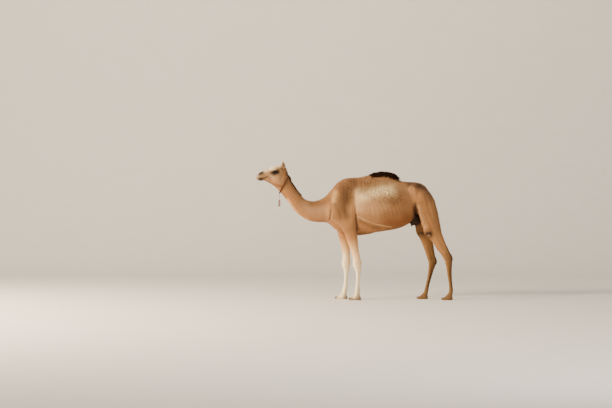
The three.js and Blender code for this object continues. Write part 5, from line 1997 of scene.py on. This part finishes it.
@dataclass(frozen=True)
class Crest:
    """Long hair that grows along a line of the midline, such as the hump's tuft or the mane."""

    name: str
    seed: int
    count: int
    line: Path
    spread: float
    length: tuple[float, float]
    width: tuple[float, float]
    lift: float
    way: Spot
    part: float
    droop: float
    stray: float
    dark: Rgb
    pale: Rgb
    locks: Locks = Locks(rings=4, sink=4.0, thick=0.3, waves=0.7, sway=0.35)

    def density(self, points: Array) -> Array:
        """How close the hair grows: 1 near the line, 0 at the spread, a tenth at the ends."""
        far, share = path_gap(points, np.array(self.line, float))
        ends = ease(share / 0.06) * ease((1 - share) / 0.06)
        return ease((self.spread - far) / (0.35 * self.spread)) * (0.1 + 0.9 * ends)

    def build(self, net: Net) -> None:
        """Makes the hair, parted by tanh of the distance from the midline.

        Args:
            net: the skin.
        """
        random = np.random.default_rng(self.seed)
        roots = Roots.strewn(net, self.count, self.density, random)
        way = np.tile(self.way, (self.count, 1)).astype(float)
        way[:, 1] += self.part * np.tanh(roots.points[:, 1] / (0.3 * self.spread))
        lie = roots.lie(way, self.stray, random)
        length = random.uniform(*self.length, self.count)
        width = random.uniform(*self.width, self.count)
        lift = self.lift * random.uniform(0.6, 1.25, self.count)
        fall = np.array([0, 0, -self.droop]) * length[:, None]
        colours = mixed(linear(self.dark), linear(self.pale), random.random((self.count, 1)) ** 1.6)
        hair = Growth(roots, lie, length, width, lift, fall, colours)
        Fleece(self.name, self.locks, DARK_HAIR, 0.75, 1.2, 0.15).build(hair, random)


CRESTS = (
    Crest(
        "hump_tuft", 21, 2600,
        ((262, 0, 1945), (330, 0, 1960), (430, 0, 1966), (540, 0, 1956), (640, 0, 1915)),
        66, (36, 88), (5, 11), 31, (0.7, 0, 0.1), 0.8, 0.36, 0.55, (20, 6, 2), (58, 27, 10),
    ),
    Crest(
        "hump_fringe", 25, 800,
        ((250, 0, 1940), (330, 0, 1960), (430, 0, 1966), (540, 0, 1956), (655, 0, 1905)),
        108, (24, 52), (4, 9), 12, (0.4, 0, -0.1), 0.9, 0.25, 0.8, (34, 15, 7), (132, 84, 48),
        Locks(rings=3, sink=3.0, thick=0.35, waves=1.0, sway=0.5),
    ),
    Crest(
        "nape_mane", 22, 2300,
        ((-1062, 0, 1990), (-1010, 0, 1890), (-940, 0, 1770), (-880, 0, 1690), (-830, 0, 1630)),
        20, (20, 48), (2.4, 5), 15, (0.5, 0, -0.7), 0.25, 0.0, 0.42, (34, 20, 11), (120, 82, 48),
        Locks(rings=3, sink=3.0, thick=0.35, waves=0.7, sway=0.35),
    ),
    Crest(
        "tail_brush", 23, 1100, ((1262, 0, 1380), (1272, 0, 1300), (1275, 0, 1200)),
        40, (55, 105), (5, 9), 8, (0.05, 0, -1.0), 0.0, 0.15, 0.12, (26, 15, 9), (78, 52, 32),
    ),
    Crest(
        "tail_fringe", 24, 420, ((1222, 0, 1580), (1258, 0, 1480), (1272, 0, 1390)),
        17, (30, 52), (4, 7), 7, (0.15, 0, -1.0), 0.1, 0.1, 0.12, (34, 20, 12), (96, 66, 42),
    ),
)


@dataclass(frozen=True)
class Lashes:
    """Long dark lashes along the margins of both eyes' lids, fanned out from the middle."""

    upper: int = 90
    lower: int = 34
    seed: int = 31
    length: tuple[float, float] = (13.0, 22.0)
    lower_share: float = 0.55
    width: float = 1.5
    colour: Rgb = (26, 16, 11)

    def margin(self, form: Strand, rise: int, at: Array) -> tuple[Array, Array, Array]:
        """The free edge of a lid.

        Args:
            form: the lid.
            rise: 1 for an upper lid, -1 for a lower one.
            at: places along it, in its rows.

        Returns:
            Points on the edge, the way out of the eyeball at each, and how far back each lies.
        """
        rows = form.rows()
        line = np.stack([np.interp(at, np.arange(len(rows)), rows[:, k]) for k in range(4)], -1)
        toward = unit(line[:, :3] - EYE * [1, np.sign(line[0, 1]), 1])
        inward = unit(np.array([0, 0, -rise]) + toward * (rise * toward[:, [2]]))
        rim = 0.55 * toward + 0.84 * inward
        edge = line[:, :3] + rim * line[:, 3:]
        for _ in range(8):
            edge = edge - rim * np.minimum(skin_value(edge), 0)[:, None]
        return edge, toward, (line[:, [0]] - EYE[0]) / 30

    def build(self) -> None:
        """Makes the lashes, each out of the eyeball, to its own end of the lid and down."""
        random = np.random.default_rng(self.seed)
        points, ways, lengths = [], [], []
        counts, rises = (self.upper,) * 2 + (self.lower,) * 2, (1, 1, -1, -1)
        for form, count, rise in zip(LIDS, counts, rises):
            at = random.uniform(0.08, 0.92, count) * (len(form.rows()) - 1)
            edge, toward, fan = self.margin(form, rise, at)
            way = toward * 0.7 + np.hstack([0.7 * fan, 0 * fan, 0 * fan - 0.42 - 0.18 * rise])
            ways.append(unit(way + random.normal(0, 0.08, way.shape)))
            points.append(edge)
            size = random.uniform(*self.length, count)
            lengths.append(size if rise > 0 else self.lower_share * size)
        lie, length = np.vstack(ways), np.concatenate(lengths)
        roots = Roots(np.vstack(points), unit(np.array([0, 0, 1.0]) - lie * lie[:, [2]]))
        width = np.full(len(length), self.width)
        colours = np.tile(linear(self.colour), (len(length), 1))
        hair = Growth(roots, lie, length, width, 0.25 * length, 0 * lie, colours)
        locks = Locks(rings=3, sink=0.5, thick=0.5)
        Fleece("lashes", locks, DARK_HAIR, 0.8, 1.0, 0.05).build(hair, random)




# ---- the collar and its pendant ----
@dataclass(frozen=True)
class Collar:
    """A twisted wool rope round the top of the neck, knotted under the throat."""

    middle: Spot = (-1086, 0, 1788)
    axis: Spot = (0.871, 0, -0.491)
    radius: float = 7.2
    clearance: float = 7.5
    strands: int = 3
    turns: int = 46
    fineness: int = 520
    bends: int = 9
    knot: Spot = (13.0, 7.5, 10.5)
    knot_drop: float = 9.0

    def loop(self) -> tuple[Array, Array]:
        """The rope's way round the neck, clear of the flesh.

        Returns:
            Its middle line, found by halving along each ray and kept to its slow waves, and the
            outward way at each of its points.
        """
        axis = np.array(self.axis) / norm(self.axis)
        throat = np.cross(axis, LATERAL)
        throat *= -np.sign(throat[2])
        turn = np.linspace(0, 2 * math.pi, self.fineness, endpoint=False)[:, None]
        out = np.cos(turn) * throat + np.sin(turn) * LATERAL
        near, far = np.full(len(turn), 20.0), np.full(len(turn), 260.0)
        clear = COAT_DEPTH + self.clearance
        for _ in range(22):
            half = (near + far) / 2
            inside = flesh_value(np.array(self.middle) + out * half[:, None]) < clear
            near, far = np.where(inside, half, near), np.where(inside, far, half)
        smooth = np.fft.rfft(near)
        smooth[self.bends :] = 0
        reach = np.fft.irfft(smooth, len(near))
        return np.array(self.middle) + out * reach[:, None], out

    def build(self) -> None:
        """Makes the rope as round strands twisted about its line, and the knot as three wraps."""
        line, out = self.loop()
        axis = np.array(self.axis) / norm(self.axis)
        nets = []
        around = np.linspace(0, 2 * math.pi, 8, endpoint=False)
        phase = np.linspace(0, 2 * math.pi * self.turns, len(line), endpoint=False)[:, None]
        thin = self.radius * 0.56
        for strand in range(self.strands):
            turn = phase + 2 * math.pi * strand / self.strands
            middle = line + (self.radius - thin) * (np.cos(turn) * out + np.sin(turn) * axis)
            ring = np.cos(around)[None, :, None] * out[:, None] + np.sin(around)[None, :, None] * axis
            rings = middle[:, None] + thin * ring
            nets.append(outward(ring_net(np.concatenate([rings, rings[:1]]), closed_ends=False)))
        knot = line[0] - np.array([0, 0, self.knot_drop])
        for tilt in (0.0, 0.9, -0.9):
            wrap = ball_net((0, 0, 0), self.knot, 14)
            c, s = math.cos(tilt), math.sin(tilt)
            turned = wrap.points @ np.array([[c, 0, s], [0, 1, 0], [-s, 0, c]])
            nets.append(Net(turned + knot + (0, 2.5 * math.copysign(1, tilt), 0), wrap.faces))
        placed(dressed(stacked(nets).mesh("neck_rope"), ROPE), "collar")


@dataclass(frozen=True)
class Pendant:
    """A cord from the collar's knot with a cap, a green and a red yarn tassel, and a weight."""

    top: Spot = (-1161.56, 0, 1643.81)
    length: float = 100.0
    diameter: float = 6.0
    far_end: str = "object"
    cap: float = 14.0
    tassel: float = 66.0
    weight: float = 14.0
    gap: float = 0.3
    steps: int = 9
    yarns: int = 54
    yarn_radius: float = 1.6

    def route(self) -> Array:
        """The cord's middle line, straight down from the knot."""
        run = np.linspace(0, self.length, self.steps)[:, None]
        return np.array(self.top) - run * np.array([0, 0, 1.0])

    def cord(self) -> Piece:
        """The cord as a tube round its route."""
        turn = np.linspace(0, 2 * math.pi, 12, endpoint=False)
        ring = np.stack([np.cos(turn), np.sin(turn), 0 * turn], -1) * self.diameter / 2
        net = ring_net(self.route()[::-1, None] + ring)
        return net.mesh("pendant_string")

    def disc(self, name: str, top: float, height: float, above: float, below: float) -> Piece:
        """A turned piece round the pendant's line.

        Args:
            name: the object's name.
            top: the height of its top.
            height: how tall it is.
            above: its radius at the top.
            below: its radius at the foot.

        Returns:
            The object, its edges rounded and its side waisted a little.
        """
        t = np.linspace(0, 1, 12)
        radius = below + (above - below) * t
        radius = radius * (1 - 0.16 * np.sin(math.pi * t)) - 1.6 * np.abs(2 * t - 1) ** 8
        turn = np.linspace(0, 2 * math.pi, 28, endpoint=False)
        rings = np.stack([
            np.outer(radius, np.cos(turn)), np.outer(radius, np.sin(turn)),
            np.repeat((t * height)[:, None], 28, axis=1),
        ], -1)
        return ring_net(rings + (self.top[0], 0, top - height)).mesh(name)

    def yarn(self, name: str, left: float, top: float, seed: int) -> Piece:
        """A tassel: many thin threads that hang side by side and part a little at their ends.

        Args:
            name: the object's name.
            left: where its front edge lies.
            top: the height that it hangs from.
            seed: the seed of its draws.

        Returns:
            The object, its threads' straight lines swayed by one sine.
        """
        random = np.random.default_rng(seed)
        turn = np.linspace(0, 2 * math.pi, 5, endpoint=False)
        t = np.linspace(0, 1, 6)[:, None, None]
        nets = []
        ring = self.yarn_radius * np.stack([np.cos(turn), np.sin(turn), 0 * turn], -1)
        for _ in range(self.yarns):
            start = np.array([left + random.uniform(1.8, 14.2), random.uniform(-4.5, 4.5), top])
            way = [random.uniform(-1, 1), random.uniform(-1, 1), random.uniform(0, 6) - self.tassel]
            sway = np.array([*random.normal(0, 0.7, 2), 0])
            line = start + np.array(way) * t + np.sin(math.pi * 2 * t) * sway
            nets.append(ring_net((line + ring)[::-1]))
        return stacked(nets).mesh(name)

    def build(self) -> None:
        """Makes the pendant and its cord."""
        cord = self.cord()
        placed(dressed(cord, ROPE), "pendant_cord")
        z = self.top[2] - self.length - self.gap
        cap = self.disc("pendant_cap_dark", z, self.cap, 9, 17)
        placed(dressed(cap, FITTING), "pendant_cap")
        z -= self.cap + self.gap
        green = self.yarn("pendant_yarn_green", self.top[0] - 16, z, 7)
        placed(dressed(green, GREEN_YARN), "pendant_tassel_green")
        red = self.yarn("pendant_yarn_red", self.top[0], z, 8)
        placed(dressed(red, RED_YARN), "pendant_tassel_red")
        z -= self.tassel + self.gap
        weight = self.disc("pendant_weight_dark", z, self.weight, 17, 23.5)
        placed(dressed(weight, FITTING), "pendant_weight")
        [v * MM for v in self.top]
        [[float(v) * MM for v in row] for row in self.route()]


# ---- the stage ----
@dataclass(frozen=True)
class Lamp:
    """A soft area light that faces the animal."""

    name: str
    place: Spot
    size: float
    power: float
    tint: Rgb = (255, 255, 255)

    def build(self) -> None:
        """Makes the light and turns it towards the middle of the animal."""
        data = bpy.data.lights.new(self.name, "AREA")
        data.shape, data.size, data.energy = "DISK", self.size, self.power
        data.color = tuple(linear(self.tint))
        lamp = bpy.data.objects.new(self.name, data)
        bpy.context.scene.collection.objects.link(lamp)
        lamp.location = self.place
        aim(lamp, (-0.1, 0, 1.1))


def aim(thing: Piece, target: Spot) -> None:
    """Turns an object so that its own -Z points at the target, its Y up."""
    way = Vector(target) - thing.location
    thing.rotation_euler = way.to_track_quat("-Z", "Y").to_euler()


@dataclass(frozen=True)
class Studio:
    """The camera, a pale floor that sweeps up behind, three soft lights and a dim sky."""

    eye: Spot = (-0.747, -30.0, 1.65)
    target: Spot = (-0.747, 0.0, 1.482)
    lens: float = 113.8
    sensor: float = 36.0
    floor_half: float = 26.0
    near: float = -34.0
    back: float = 9.0
    sweep: float = 6.0
    top: float = 16.0
    sky: Rgb = (240, 233, 222)
    sky_strength: float = 0.55
    lamps: tuple[Lamp, ...] = (
        Lamp("Key", (-11.0, -8.0, 6.5), 3.4, 3300.0, (255, 234, 204)),
        Lamp("Low_side", (-12.0, -1.5, 2.2), 2.2, 2300.0, (255, 226, 188)),
        Lamp("Fill", (4.0, -14.0, 5.0), 8.0, 450.0, (255, 246, 234)),
    )

    def camera(self) -> None:
        """Makes the camera that looks from the animal's left."""
        data = bpy.data.cameras.new("Camera")
        data.lens, data.sensor_width = self.lens, self.sensor
        data.clip_end = 200.0
        camera = bpy.data.objects.new("Camera", data)
        bpy.context.scene.collection.objects.link(camera)
        camera.location = self.eye
        aim(camera, self.target)
        bpy.context.scene.camera = camera

    def floor(self) -> None:
        """Makes the floor: level, then a quarter circle up, then a wall, drawn out along X."""
        turn = np.linspace(0, math.pi / 2, 24)
        wall = self.back + self.sweep
        y = np.concatenate([[self.near], self.back + self.sweep * np.sin(turn), [wall]])
        z = np.concatenate([[0.0], self.sweep * (1 - np.cos(turn)), [self.top]])
        edge = [np.stack([np.full(len(y), x), y, z], -1) for x in (-self.floor_half, self.floor_half)]
        points = np.vstack(edge) / MM
        i = np.arange(len(y) - 1)
        a, b = i, i + len(y)
        faces = np.vstack([np.stack([a, b, b + 1], -1), np.stack([a, b + 1, a + 1], -1)])
        piece = Net(points, faces).mesh("studio_floor")
        dressed(piece, BACKDROP)

    def build(self) -> None:
        """Makes the floor, the lights and the sky."""
        self.floor()
        for lamp in self.lamps:
            lamp.build()
        world = bpy.data.worlds.new("Sky")
        world.use_nodes = True
        background = world.node_tree.nodes["Background"]
        background.inputs["Color"].default_value = (*linear(self.sky), 1)
        background.inputs["Strength"].default_value = self.sky_strength
        bpy.context.scene.world = world


def main() -> None:
    """Builds the studio's camera, the pendant, then every part of the animal."""
    logging.basicConfig(level=logging.INFO, format="%(name)s %(message)s")
    studio = Studio()
    studio.camera()
    Pendant().build()
    hide = Hide()
    hide.build()
    Eyes().build()
    Ears().build()
    Nails().build()
    Udder().build()
    Collar().build()
    Coat().build(hide.net)
    Curls().build(hide.net)
    for crest in CRESTS:
        crest.build(hide.net)
    Lashes().build()
    studio.build()


if __name__ == "__main__":
    main()
